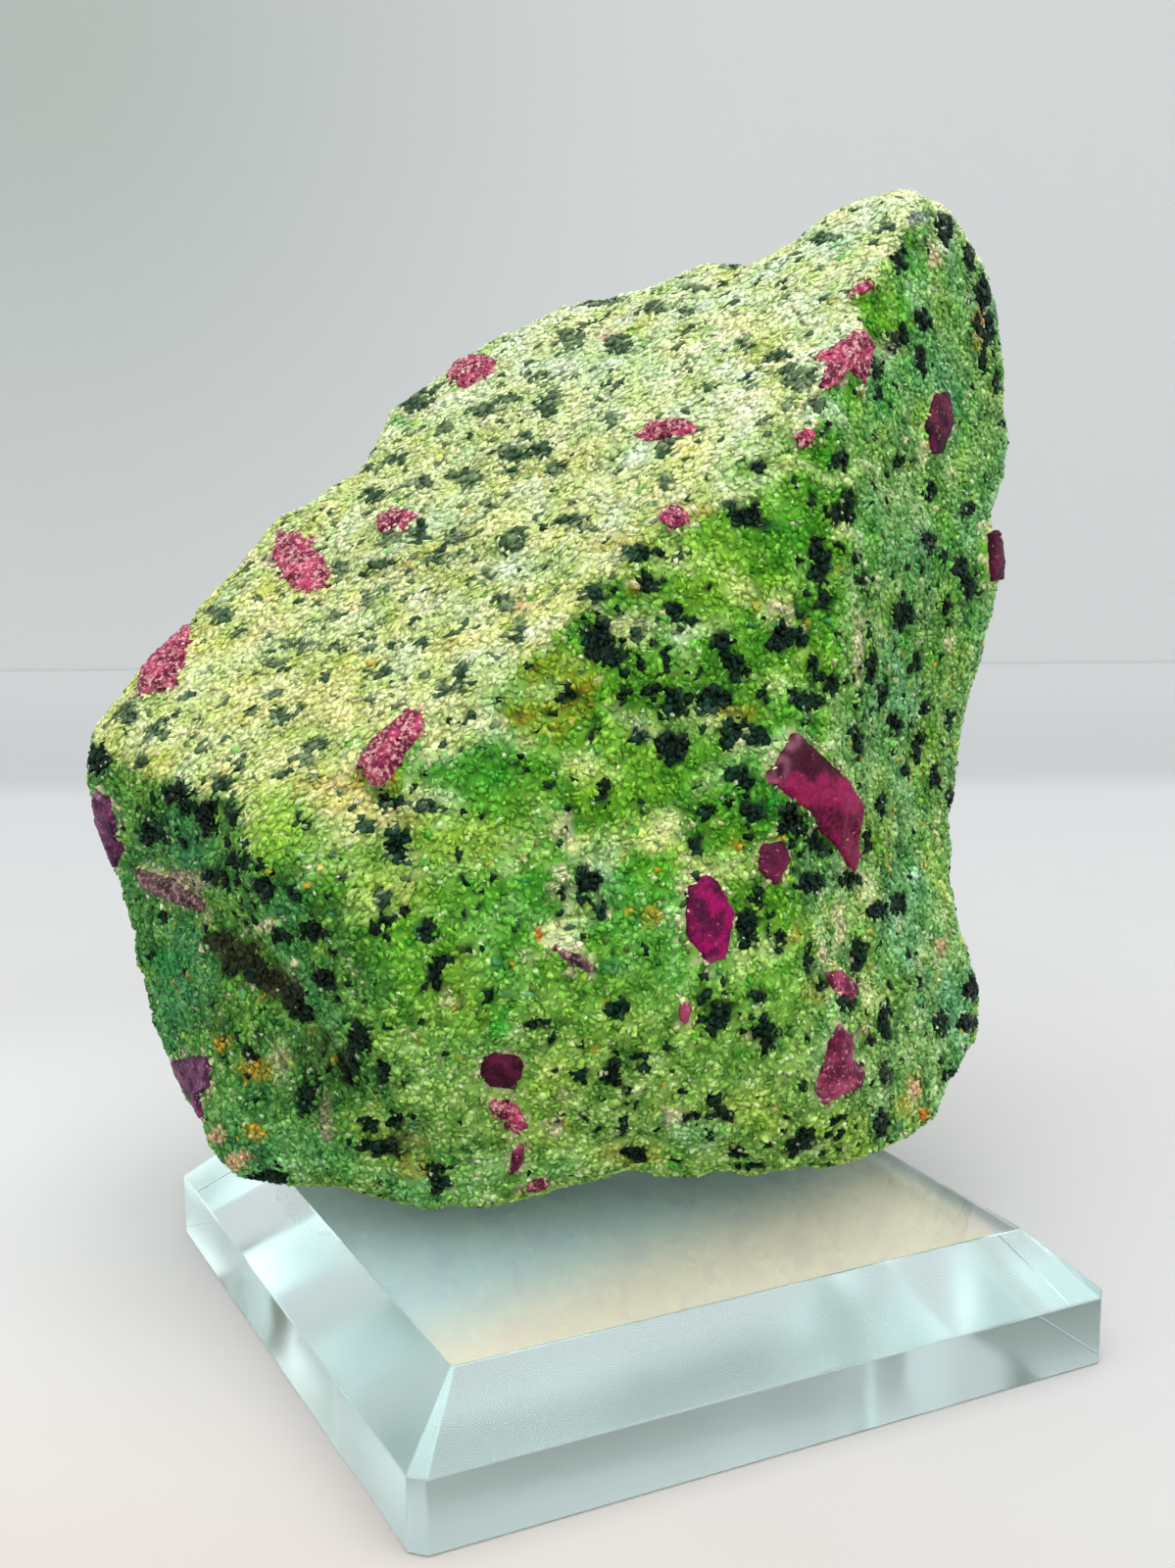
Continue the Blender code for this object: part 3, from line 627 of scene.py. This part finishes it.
# Where a side's tones set in and are full, how far noise moves that edge, and their greatest share.
UPPER_EDGE = (0.22, 0.58, 0.12, 1.0)
LEFT_EDGE = (0.35, 0.75, 0.15, 1.0)
RIGHT_EDGE = (0.12, 0.5, 0.10, 1.0)
LOW_EDGE = (0.062, 0.035, 0.008, 0.8)  # in metres, like the crest's
CREST_EDGE = (0.095, 0.14, 0.012, 1.0)
# Faces that look down are made paler across these: painted bounce light from the table.
UNDERSIDE = (0.05, 0.45)
UNDERSIDE_PAINTED_LIGHT = 0.3

# What each noise adds to the middle of the row.
ROW_MIDDLE, ROW_CLOUDS, ROW_FINE, ROW_SCATTER = 0.41, 0.28, 0.36, 0.11
SLOPE_MIDDLE, SLOPE_ROW, SLOPE_CLOUDS, SLOPE_STREAKS = 0.34, 0.35, 0.20, 0.30
SLOPE_WARMTH = np.array((0.14, 0.0, -0.24))
SLOPE_TINT = np.array((0.0, 0.0, -0.05))
# Tint, how steeply noise brings it in, its greatest share, and how much less of it the slope has.
YELLOWER = (np.array((1.22, 1.05, 0.5)), 1.3, 0.5, 0.55)
BLUER = (np.array((0.55, 0.95, 1.5)), 1.4, 0.6, 0.85)

CLUSTER_HALO = 7.0  # pixels around a dark cluster over which the green turns darker
HALO_TINT = np.array((0.30, 0.42, 0.36))
HALO_EDGES = (-1.0, 0.1)
HALO_SHARES = (0.0, 0.75)
SLOPE_HALO = 0.5
GRAIN_LIGHT = (0.88, 1.12)
HIDDEN_CLUSTERS = 420
HIDDEN_WIDTHS = (0.7, 2.0)
HIDDEN_LENGTHS = (1.0, 2.6)  # times the width
SEEN, HIDDEN = 0.25, 0.05  # of facing_camera
CLUSTER_EDGE = (-0.12, 0.22)
CLUSTER_BREAKS = (0.30, 0.22)
SLOPE_THINNING = 0.45
STREAK_LEVEL, STEEP_STREAKS = 0.50, 0.25
CROWD_STRETCH = np.array((1.0, 1.0, 0.7))
CROWD_GAIN, CROWD_LEVEL = 1.1, 0.74
LONE_GRAINS = 0.010
DARK_MIDDLE, DARK_FINE, DARK_SCATTER, DARK_CLOUDS, DARK_SLOPE = 0.16, 0.26, 0.14, 0.16, 0.58
EARTHY_SHARE = 0.5

FAR_OFF = 9.0
RUBY_NEIGHBOURS = 2.0
RUBY_CLEARANCE = 0.42
OVERGROWN_DEPTH, OVERGROWN_SHARE = 0.55, 0.55
RIM_REACH, RIM_SHARE, RIM_STRENGTH = 1.2, 0.35, 0.6
TIGHT_REACH, TIGHT_SIZE = 1.0, 0.75  # grains near a ruby are smaller
CRUSHED_SHARES = (0.03, 0.8)  # of a smooth and of a granular crystal
CRUSHED_REACH = 0.6
CRUSHED_SIZE = 0.8
CRUSHED_MIDDLE, CRUSHED_CLOUDS, CRUSHED_SCATTER, CRUSHED_SLOPE = 0.38, 0.30, 0.26, 0.15
HORNBLENDE_SIZES = (0.95, 1.35)

# Points on the rock, how they face the camera and upward, and the rock's tree.
Spots = namedtuple("Spots", "places normals facing upward rock")


def grain_kinds():
    """Convex chips: the points and triangles of each."""
    kinds = []
    while len(kinds) < GRAIN_KINDS:
        form = bmesh.new()
        for point in chance.normal(size=(GRAIN_POINTS, 3)):
            form.verts.new(point / np.linalg.norm(point) * chance.uniform(*CORNER_REACH))
        bmesh.ops.convex_hull(form, input=form.verts)
        bmesh.ops.triangulate(form, faces=form.faces)
        form.verts.index_update()
        points = np.array([vertex.co for vertex in form.verts])
        triangles = np.array([[vertex.index for vertex in face.verts] for face in form.faces])
        form.free()
        if len(points) == GRAIN_POINTS and len(triangles) == 2 * GRAIN_POINTS - 4:
            kinds.append((points, triangles))
    return kinds


def turned_at_random(count):
    """Rotation matrices, spread evenly."""
    turns = chance.normal(size=(count, 4))
    w, x, y, z = (turns / np.linalg.norm(turns, axis=1)[:, None]).T
    return np.array((
        (1 - 2 * (y * y + z * z), 2 * (x * y - z * w), 2 * (x * z + y * w)),
        (2 * (x * y + z * w), 1 - 2 * (x * x + z * z), 2 * (y * z - x * w)),
        (2 * (x * z - y * w), 2 * (y * z + x * w), 1 - 2 * (x * x + y * y)),
    )).transpose(2, 0, 1)


KINDS = grain_kinds()


def grain_mesh(name, places, normals, radii, tones, flat):
    """One mesh of a chip at each place, pressed to that share of its height, and flatter on top."""
    kind = chance.integers(len(KINDS), size=len(places))
    shapes = np.array([points for points, _ in KINDS])[kind]
    corners = np.array([triangles for _, triangles in KINDS])[kind]
    stretch = chance.uniform(*GRAIN_LENGTHS, size=(len(places), 1, 3))
    shapes = (shapes * stretch) @ turned_at_random(len(places))
    upward = smoothstep(*UPWARD, normals[:, 2])[:, None, None]
    shapes += GRAIN_STRETCH * upward * (shapes @ FOLIATION)[:, :, None] * FOLIATION
    height = (shapes * normals[:, None]).sum(axis=2, keepdims=True)
    shapes -= (1.0 - flat * (1.0 - TOP_FLATTER * upward)) * height * normals[:, None]
    points = places[:, None] + shapes * radii[:, None, None]
    corners = corners + (np.arange(len(places)) * GRAIN_POINTS)[:, None, None]
    lowest, highest = np.array(cad_bounds[0]), np.array(cad_bounds[1])
    points = np.clip(points.reshape(-1, 3), lowest, highest)
    mesh = mesh_from(name, points, corners.reshape(-1, 3))
    colour_points(mesh, np.repeat(tones, GRAIN_POINTS, axis=0))
    return mesh


def add_grains(name, surface, spots, part, radii, tones, flat=GRAIN_FLAT, proud=0.0):
    """A piece of chips at part of the spots, sunk so that their tips stand about there."""
    places, normals, radii = spots.places[part], spots.normals[part], radii[part]
    centres = places - normals * ((radii * flat * GRAIN_SUNK - proud) * MM)[:, None]
    add_piece(name, grain_mesh(name, centres, normals, radii * MM, tones[part], flat), surface)


def facing_camera(places, normals):
    """From -1 for a surface that looks at the camera to 1 for one that looks away."""
    sight = places - CAMERA_PLACE
    sight /= np.linalg.norm(sight, axis=1)[:, None]
    return (sight * normals).sum(axis=1)


def in_patches(patches, spots, margin=0.0):
    """How deep each spot lies in the nearest of the picture's patches.

    It is 1 in a patch's middle and 0 at its edge, and goes on below 0 in a margin, that many pixels wide.
    """
    places = spots.places
    column, row, _ = pixels_of(places)
    ragged = 1.0 + 0.4 * noise_at(places, size=2.4, seed=5.0) + 0.15 * noise_at(places, size=1.1, seed=6.0)
    deepest = np.full(len(places), -1.0 if margin else 0.0)
    for patch in patches:
        x, y, wide, high = patch[:4]
        strength = patch[4] if len(patch) > 4 else 1.0
        hit = spots.rock.ray_cast(Vector(CAMERA_PLACE), ray_of(x, y))[0]
        if hit is None:
            continue
        off = np.hypot((column - x) / wide, (row - y) / high) / ragged
        # This only leaves out what lies far behind the patch.
        near = np.linalg.norm(places - np.array(hit), axis=1) < (max(wide, high) + margin) * MM
        depth = strength * (1.0 - np.minimum(off, 1.0) ** 3)
        if margin:
            depth -= np.maximum(off - 1.0, 0.0) * min(wide, high) / margin
        deepest = np.where(near & (spots.facing < SEEN), np.maximum(deepest, depth), deepest)
    return deepest


def hidden_clusters(spots):
    """Dark clusters like the picture's on the sides that it doesn't show."""
    places = spots.places
    centres = places[chance.choice(np.flatnonzero(spots.facing > HIDDEN), HIDDEN_CLUSTERS, replace=False)]
    ragged = 1.0 + 0.5 * noise_at(places, size=2.2, seed=9.0)
    deepest = np.full(len(places), -1.0)
    for centre in centres:
        offset = places - centre
        forwards = offset @ FOLIATION
        sideways = np.linalg.norm(offset - forwards[:, None] * FOLIATION, axis=1)
        half_wide = chance.uniform(*HIDDEN_WIDTHS) * MM
        half_long = half_wide * chance.uniform(*HIDDEN_LENGTHS)
        deepest = np.maximum(deepest, 1.0 - np.hypot(forwards / half_long, sideways / half_wide) / ragged)
    return np.where(spots.facing > 0.0, deepest, -1.0)


def along_row(tones, share):
    """The colours at shares 0 to 1 along a row of tones."""
    share = np.clip(share, 0.0, 1.0) * (len(tones) - 1)
    low = np.minimum(share.astype(int), len(tones) - 2)
    return mixed(tones[low], tones[low + 1], (share - low)[:, None])


def beyond(edge, value, wander):
    """From 0 to the greatest share across an edge that noise moves to and fro."""
    start, full, reach, most = edge
    return most * smoothstep(start, full, value + reach * wander)[:, None]


def zoisite_tones(spots):
    """Each green grain's colour, from where it lies, with painted bounce light on the faces that look down.
    """
    places, across, upright = spots.places, spots.normals[:, 0], spots.normals[:, 2]
    count, height = len(places), places[:, 2]
    broad, clouds = noise_at(places, size=14.0), noise_at(places, size=4.5, seed=3.0)
    fine = noise_at(places, size=1.7, seed=7.0)
    row = ROW_MIDDLE + ROW_CLOUDS * clouds + ROW_FINE * fine + ROW_SCATTER * chance.normal(size=count)
    tones = along_row(FRONT_TONES, row)
    tones = mixed(tones, along_row(LOW_TONES, row), beyond(LOW_EDGE, height, broad))
    tones = mixed(tones, along_row(SHADY_TONES, row), beyond(LEFT_EDGE, -across, broad))
    tones = mixed(tones, along_row(SAGE_TONES, row), beyond(RIGHT_EDGE, across, broad))

    upward = beyond(UPPER_EDGE, upright, clouds)
    streaks = noise_at(streaked(places), size=1.3, seed=11.0)
    row = SLOPE_ROW * row + SLOPE_CLOUDS * clouds + SLOPE_STREAKS * streaks + SLOPE_MIDDLE
    upper = mixed(along_row(SLOPE_TONES, row), along_row(CREST_TONES, row), beyond(CREST_EDGE, height, broad))
    warm = noise_at(places, size=6.0, seed=31.0)[:, None] * upward
    tones = mixed(tones, upper, upward) * (1.0 + warm * SLOPE_WARMTH) * (1.0 + upward * SLOPE_TINT)

    yellowish = noise_at(places, size=9.0, seed=13.0)
    for wander, (tint, gain, most, less) in ((yellowish, YELLOWER), (-broad, BLUER)):
        share = np.clip(wander * gain, 0.0, most)[:, None] * (1.0 - less * upward)
        tones = mixed(tones, tones * tint, share)
    for name, patches in TINTS.items():
        share = in_patches(patches, spots) * TINT_STRENGTHS.get(name, 1.0)
        share = np.clip(share * chance.uniform(*TINT_SPREAD, count), 0.0, 1.0)[:, None]
        tones = mixed(tones, TONES[name], share)
    # Painted bounce light: faces that look down are made paler.
    return tones * (1.0 + UNDERSIDE_PAINTED_LIGHT * smoothstep(*UNDERSIDE, -upright)[:, None])


def scattered_accents(tones):
    """A few grains anywhere take one of the other colours."""
    for index in np.flatnonzero(chance.random(len(tones)) < ACCENT_SHARE):
        other = TONES[ACCENTS[chance.integers(len(ACCENTS))]]
        tones[index] = mixed(tones[index], other, ACCENT_STRENGTH)
    return tones


def near_rubies(places, rubies):
    """Each place's distance from the nearest ruby, which one that is, and its distance from the rock."""
    count = len(places)
    stone = tree_of(["zoisite_rock"])
    to_ruby, nearest, to_stone = np.full(count, FAR_OFF), np.zeros(count, int), np.zeros(count)
    for index, node in enumerate(rubies):
        tree = tree_of([node])
        lowest, highest = (np.array(corner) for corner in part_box(node))
        margin = RUBY_NEIGHBOURS * MM
        for place in np.flatnonzero(((places > lowest - margin) & (places < highest + margin)).all(axis=1)):
            spot = Vector(places[place])
            distance = tree.find_nearest(spot)[3] / MM
            if distance < to_ruby[place]:
                to_ruby[place], nearest[place] = distance, index
                to_stone[place] = stone.find_nearest(spot)[3] / MM
    return to_ruby, nearest, to_stone


def dark_spots(spots, depth):
    """Where black grains lie: in clusters, streaks and crowds, and here and there."""
    places, upward = spots.places, spots.upward
    count = len(places)
    small, large = noise_at(places, size=1.3, seed=23.0), noise_at(places, size=3.2, seed=25.0)
    broken = CLUSTER_BREAKS[0] * small + CLUSTER_BREAKS[1] * large
    edge = chance.uniform(*CLUSTER_EDGE, count) + SLOPE_THINNING * upward * chance.random(count)
    streaks = noise_at(streaked(places), size=1.1, seed=21.0) - STREAK_LEVEL - STEEP_STREAKS * (1.0 - upward)
    crowds = noise_at(places * CROWD_STRETCH, size=1.15, seed=29.0)
    crowds = crowds + CROWD_GAIN * in_patches(TINTS["deep"], spots)
    lone = chance.random(count) < LONE_GRAINS
    return (depth + broken > edge) | (streaks > 0.0) | (crowds > CROWD_LEVEL) | lone


def green_tones(spots, depth, to_ruby):
    """The grains' colours, with accents, pale rims at the rubies and dark halos at the clusters."""
    count = len(depth)
    tones = scattered_accents(zoisite_tones(spots))
    rim = (to_ruby < RIM_REACH) & (chance.random(count) < RIM_SHARE)
    tones[rim] = mixed(tones[rim], TONES["cream"], RIM_STRENGTH)
    halo = smoothstep(*HALO_EDGES, depth) * chance.uniform(*HALO_SHARES, count)
    halo *= 1.0 - SLOPE_HALO * spots.upward
    tones = mixed(tones, tones * HALO_TINT, halo[:, None])
    return tones * chance.uniform(*GRAIN_LIGHT, count)[:, None]


def dark_tones(spots):
    """The black grains' colours: dusty on the slope, and brown in places."""
    places = spots.places
    scatter = np.abs(chance.normal(size=len(places)))
    row = DARK_MIDDLE + DARK_FINE * noise_at(places, size=1.2, seed=17.0) + DARK_SCATTER * scatter
    row += DARK_CLOUDS * noise_at(places, size=6.0, seed=27.0) + DARK_SLOPE * spots.upward
    earthy = EARTHY_SHARE * in_patches(TINTS["brown"], spots)
    return mixed(along_row(DARK_TONES, row), TONES["brown"], earthy[:, None])


def grain_sides(spots):
    """The sides that the green grains are split into; a grain belongs to the first that claims it."""
    across, upright = spots.normals[:, 0], spots.normals[:, 2]
    return {
        "top": upright > 0.45,
        "front": spots.facing < -0.15,
        "left": across < -0.2,
        "right": across > 0.25,
        "back": np.ones(len(across), bool),
    }


def add_rock():
    """The inset skin and the grains on it, with their tips about where the CAD rock's surface is."""
    rubies = ruby_nodes()
    skin = remeshed("zoisite_matrix", ["zoisite_rock"] + rubies, SKIN_VOXEL)
    surface, normals = read_vectors(skin.vertices), read_vectors(skin.vertex_normals, "vector")
    hollow = 0.5 * noise_at(surface, size=2.6, seed=1.0) + 0.35 * noise_at(surface, size=6.0, seed=2.0)
    sunk = surface - normals * ((SKIN_INSET + SKIN_RELIEF * hollow) * MM)[:, None]
    skin.vertices.foreach_set("co", sunk.ravel())
    skin.update()

    count = len(surface)
    jitter = chance.normal(size=surface.shape) * PLACE_JITTER * MM
    jitter -= normals * (jitter * normals).sum(axis=1)[:, None]
    places = surface + jitter - normals * (HOLLOW_DEPTH * np.clip(hollow, 0.0, 1.0) * MM)[:, None]
    to_ruby, nearest, to_stone = near_rubies(places, rubies)
    overgrown = (to_stone < OVERGROWN_DEPTH) & (chance.random(count) < OVERGROWN_SHARE)
    on_ruby = (to_ruby < RUBY_CLEARANCE) & ~overgrown

    upward = smoothstep(*UPWARD, normals[:, 2])
    rock = tree_of(["zoisite_rock"] + rubies)
    spots = Spots(places, normals, facing_camera(surface, normals), upward, rock)
    clusters = [cluster for group in HORNBLENDE.values() for cluster in group]
    depth = np.maximum(in_patches(clusters, spots, CLUSTER_HALO), hidden_clusters(spots))
    dark = dark_spots(spots, depth) & ~on_ruby
    tones = green_tones(spots, depth, to_ruby)
    radii = SMALLEST_GRAIN + GRAIN_RANGE * chance.random(count) ** SMALL_BIAS
    radii[to_ruby < TIGHT_REACH] *= TIGHT_SIZE
    tones[dark] = dark_tones(spots)[dark]
    tones *= STONE_SHADE
    # Painted shade: the skin between the grains is darker than the grains.
    colour_points(skin, tones * SKIN_PAINTED_SHADE)
    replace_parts(add_piece("zoisite_matrix", skin, skin_material()), "zoisite_rock")

    left = ~dark & ~on_ruby
    grains = grain_material("zoisite_grains", *ZOISITE_LOOK)
    for side, mask in grain_sides(spots).items():
        add_grains("zoisite_grains_" + side, grains, spots, left & mask, radii, tones)
        left &= ~mask
    hornblende = grain_material("hornblende", *HORNBLENDE_LOOK)
    wide = radii * chance.uniform(*HORNBLENDE_SIZES, count)
    add_grains("hornblende_grains", hornblende, spots, dark, wide, tones, flat=0.6, proud=0.04)

    smooth = np.array([node in KIND_OF for node in rubies])
    crushed = chance.random(count) < np.where(smooth, *CRUSHED_SHARES)[nearest]
    part = on_ruby & crushed & (to_ruby < CRUSHED_REACH)
    row = CRUSHED_MIDDLE + CRUSHED_CLOUDS * noise_at(places, size=1.6, seed=19.0)
    row += CRUSHED_SCATTER * chance.normal(size=count) + CRUSHED_SLOPE * upward
    broken = grain_material("ruby_grains", *CRUSHED_LOOK)
    tones = along_row(RUBY_TONES, row) * STONE_SHADE
    add_grains("ruby_grains", broken, spots, part, radii * CRUSHED_SIZE, tones, flat=0.8, proud=0.12)


# ---------- rubies

RUBY_VOXEL = 0.5
RUBY_SHADE = 0.78
# Each kind's noise above which it is crushed, and its deep, bright and pale colours.
RUBY_KINDS = {
    "crimson": (0.64, (70, 4, 34), (146, 22, 76), (206, 130, 150)),
    "magenta": (0.64, (84, 4, 54), (162, 0, 92), (200, 90, 140)),
    "plum": (0.60, (58, 8, 36), (104, 22, 60), (196, 140, 136)),
    "pink": (0.50, (106, 14, 52), (188, 62, 102), (232, 190, 178)),
    "rose": (0.56, (98, 18, 54), (168, 66, 100), (214, 166, 166)),
    "purple": (0.58, (66, 20, 60), (132, 62, 108), (198, 164, 184)),
    "dusky": (0.50, (54, 26, 38), (106, 72, 76), (186, 156, 144)),
}
USUAL_KIND = "pink"
# The other crystals are granular and of the usual kind.
SMOOTH = {
    "crimson": ("blade", "back_large"),
    "magenta": ("hexagon", "back_high"),
    "plum": ("dark_window", "right_upright", "small_dark", "right_edge"),
    "purple": ("left_edge", "left_low", "back_foot"),
    "dusky": ("left_streak", "faint"),
    "rose": (
        "streak", "pink_low", "right_waist", "wedge_low", "tiny", "back_right", "back_left_low",
        "back_underside",
    ),
}
KIND_OF = {"ruby_" + crystal: kind for kind, crystals in SMOOTH.items() for crystal in crystals}
SUNK = {"ruby_right_edge": 0.3}  # crystals that stand lower than their solid
SMOOTH_RELIEF, GRANULAR_RELIEF, FINE_RELIEF, WORN = 0.16, 0.34, 0.14, 0.08
RIM_EDGES = (0.80, 1.02)  # shares of a crystal's reach over which its crushed rim sets in
OUTERMOST = 97  # percentile
# The blade is darkest near its upper end: (row in the picture, brightness) down its length.
BANDED = "ruby_blade"
BANDS = ((735, 0.45), (760, 0.2), (785, 0.22), (796, 0.8), (822, 0.85), (832, 0.5), (856, 0.55), (885, 0.8))
BAND_WANDER = 12.0  # pixels
BAND_SHARE = 0.8


def ruby_light(node, points):
    light = 0.5 + 0.5 * noise_at(points, size=2.4, seed=12.0)
    if node == BANDED:
        rows = pixels_of(points)[1] + BAND_WANDER * noise_at(points, size=3.0, seed=14.0)
        light = mixed(light, np.interp(rows, *zip(*BANDS)), BAND_SHARE)
    return np.clip(light, 0, 1)


def add_rubies():
    """Each crystal as a finer copy of its CAD solid, with a broken, striated skin and crushed edges."""
    materials = {
        kind: ruby_material("ruby_" + kind, crushed_from, *(RUBY_SHADE * tone_row(*colours)))
        for kind, (crushed_from, *colours) in RUBY_KINDS.items()
    }
    for node in ruby_nodes():
        mesh = remeshed(node + "_crystal", [node], RUBY_VOXEL)
        points, normals = read_vectors(mesh.vertices), read_vectors(mesh.vertex_normals, "vector")
        coarse = SMOOTH_RELIEF if node in KIND_OF else GRANULAR_RELIEF
        relief = coarse * noise_at(points, size=1.1, seed=4.0)
        relief += FINE_RELIEF * noise_at(points, size=0.6, seed=8.0) - WORN - SUNK.get(node, 0.0)
        mesh.vertices.foreach_set("co", (points + normals * (relief * MM)[:, None]).ravel())
        mesh.update()
        middle = read_vectors(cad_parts[node].data.vertices).mean(axis=0)
        reach = np.linalg.norm(points - middle, axis=1)
        rim = 0.5 * smoothstep(*RIM_EDGES, reach / np.percentile(reach, OUTERMOST))
        rim = np.clip(rim * (0.5 + noise_at(points, size=1.2, seed=6.0)), 0, 1)
        colour_points(mesh, np.column_stack((rim, ruby_light(node, points), np.zeros(len(points)))))
        surface = materials[KIND_OF.get(node, USUAL_KIND)]
        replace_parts(add_piece(node + "_crystal", mesh, surface), node)


# ---------- block and studio

EDGE_BREAK = 0.15
FLAT_ENOUGH = 0.01  # radians between faces that are joined into one


def add_block():
    """The glass block with its edges just softened, as polishing leaves them."""
    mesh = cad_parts["base_block"].data.copy()
    form = bmesh.new()
    form.from_mesh(mesh)
    bmesh.ops.remove_doubles(form, verts=form.verts, dist=1e-6)
    bmesh.ops.dissolve_limit(form, angle_limit=FLAT_ENOUGH, verts=form.verts, edges=form.edges)
    edges = list(form.edges)
    bmesh.ops.bevel(form, geom=edges, offset=EDGE_BREAK * MM, segments=2, affect="EDGES", profile=0.5)
    form.to_mesh(mesh)
    form.free()
    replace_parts(add_piece("glass_block", mesh, glass_material()), "base_block")


# From here on, lengths are in metres.
FLOOR_DROP = 0.0002
TABLE_FRONT = -2.5
WALL_REACH = 0.75  # far behind the rock
WALL_HEIGHT = 1.6
STUDIO_WIDTH = 4.0
TABLE_COLOUR = linear(182, 181, 180)
MOTTLE = 0.97
# A painted pool of light on the table left of the block, where the rock's shade falls.
PAINTED_LIGHT_COLOUR = linear(197, 197, 196)
PAINTED_LIGHT_PLACE = (-0.05, 0.06, 0.0)
PAINTED_LIGHT_REACH = (0.04, 0.14)
# A painted warm shadow on the table in front of and left of the block.
WARM_SHADOW_COLOUR = linear(184, 172, 162)
WARM_SHADOW_PLACE = (-0.14, -0.12, 0.0)
WARM_SHADOW_REACH = (0.02, 0.22)
FAR_COLOUR = linear(174, 175, 175)
FAR_REACH = (0.10, 0.40)  # towards the wall
SEAM_REACH = (0.380, 0.425)  # where the picture's wall sets in
BACK_COLOUR = linear(161, 162, 162)
BACK_REACH = (0.425, 0.75)
CORNER_COLOUR = linear(171, 173, 173)
# Under the glass block: painted light where the table is lit, and the rock's painted shadow.
UNDER_REACH = (0.0455, 0.0495)  # from the middle to the block's edge
UNDER_LIT = linear(255, 234, 214)
UNDER_SHADOW = linear(226, 240, 244)
LIT_TOWARDS = (-0.25, 1.0, 0.0)
LIT_REACH = (-0.022, 0.0)
WALL_COLOUR = linear(182, 184, 183)
SHADE_COLOUR = linear(154, 160, 155)
SHADE_REACH = (0.0, 0.39)  # from the picture's upper left corner
WALL_FOOT = 0.002
PAPER_ROUGHNESS = 0.7
LIGHT_FROM = (-0.05, -0.5, 1.0)
LIGHT_EDGES = (0.30, 1.0)  # cosines of the angles
LIGHT_STRENGTHS = (0.75, 3.05)
LIGHT_COLOUR = (0.97, 0.985, 1.0)
MOST_BOUNCES = 24


def studio_material(wall_corner, back):
    """Pale paper, greyer at the back and with painted shade in one corner of the wall.

    Near the block it has a painted pool of light and a painted warm shadow, and under the glass
    block painted light and the rock's painted shadow.
    """
    made = Nodes(bpy.data.materials.new("studio_paper"))

    def near(place, reach):
        return made.fade(made.measure("DISTANCE", place), reach)

    backwards = made.measure("DOT_PRODUCT", back)
    table = made.ramp(made.noise(size=60.0, detail=4.0), (0.3, TABLE_COLOUR * MOTTLE), (0.7, TABLE_COLOUR))
    # The painted pool of light near the block.
    table = made.mix(near(PAINTED_LIGHT_PLACE, PAINTED_LIGHT_REACH), table, PAINTED_LIGHT_COLOUR)
    # The painted warm shadow beside the block.
    table = made.mix(near(WARM_SHADOW_PLACE, WARM_SHADOW_REACH), table, WARM_SHADOW_COLOUR)
    table = made.mix(made.fade(backwards, FAR_REACH), FAR_COLOUR, table)
    farthest = made.mix(made.fade(backwards, BACK_REACH), CORNER_COLOUR, BACK_COLOUR)
    table = made.mix(made.fade(backwards, SEAM_REACH), farthest, table)

    across = made.add("SeparateXYZ", {"Vector": made.place()}).outputs
    from_middle = made.blend("MAXIMUM", *(made.blend("ABSOLUTE", across[axis]) for axis in "XY"))
    shadowed = made.fade(made.measure("DOT_PRODUCT", LIT_TOWARDS), LIT_REACH)
    lit = made.mix(shadowed, UNDER_SHADOW, UNDER_LIT)
    table = made.mix(made.fade(from_middle, UNDER_REACH), table, lit)
    wall = made.mix(near(wall_corner, SHADE_REACH), WALL_COLOUR, SHADE_COLOUR)
    rise = made.rescale(across["Z"], 0.0, WALL_FOOT)
    made.shade(Base_Color=made.mix(rise, table, wall), Roughness=PAPER_ROUGHNESS)
    return made.owner


def add_paper():
    back = np.array((FORWARD[0], FORWARD[1], 0.0))
    back /= np.linalg.norm(back)
    side = np.array((back[1], -back[0], 0.0))
    profile = ((TABLE_FRONT, 0.0), (WALL_REACH, 0.0), (WALL_REACH, WALL_HEIGHT))
    points = [
        back * reach + side * share * STUDIO_WIDTH + np.array((0, 0, height - FLOOR_DROP))
        for reach, height in profile for share in (-0.5, 0.5)
    ]
    mesh = bpy.data.meshes.new("studio")
    mesh.from_pydata([tuple(point) for point in points], [], [(0, 1, 3, 2), (2, 3, 5, 4)])
    corner = np.array(ray_of(0, 0))
    corner *= (WALL_REACH - CAMERA_PLACE @ back) / (corner @ back)
    mesh.materials.append(studio_material(tuple(CAMERA_PLACE + corner), tuple(back)))
    studio = bpy.data.objects.new("studio", mesh)
    bpy.context.scene.collection.objects.link(studio)


def add_light():
    """Soft light from above and the front, which fades towards the horizon."""
    scene = bpy.context.scene
    scene.world = bpy.data.worlds.new("studio light")
    made = Nodes(scene.world)
    place = made.add("TexCoord").outputs["Generated"]
    towards = made.add("VectorMath", {0: place, 1: Vector(LIGHT_FROM).normalized()}, operation="DOT_PRODUCT")
    background = made.tree.nodes["Background"].inputs
    glow = made.rescale(towards.outputs["Value"], *LIGHT_EDGES, *LIGHT_STRENGTHS, "SMOOTHSTEP")
    made.join(background["Strength"], glow)
    made.join(background["Color"], LIGHT_COLOUR)
    scene.view_settings.view_transform = "Standard"
    paths = scene.cycles
    paths.max_bounces = paths.glossy_bounces = paths.transmission_bounces = MOST_BOUNCES


add_camera()
add_paper()
add_light()
add_block()
add_rock()
add_rubies()
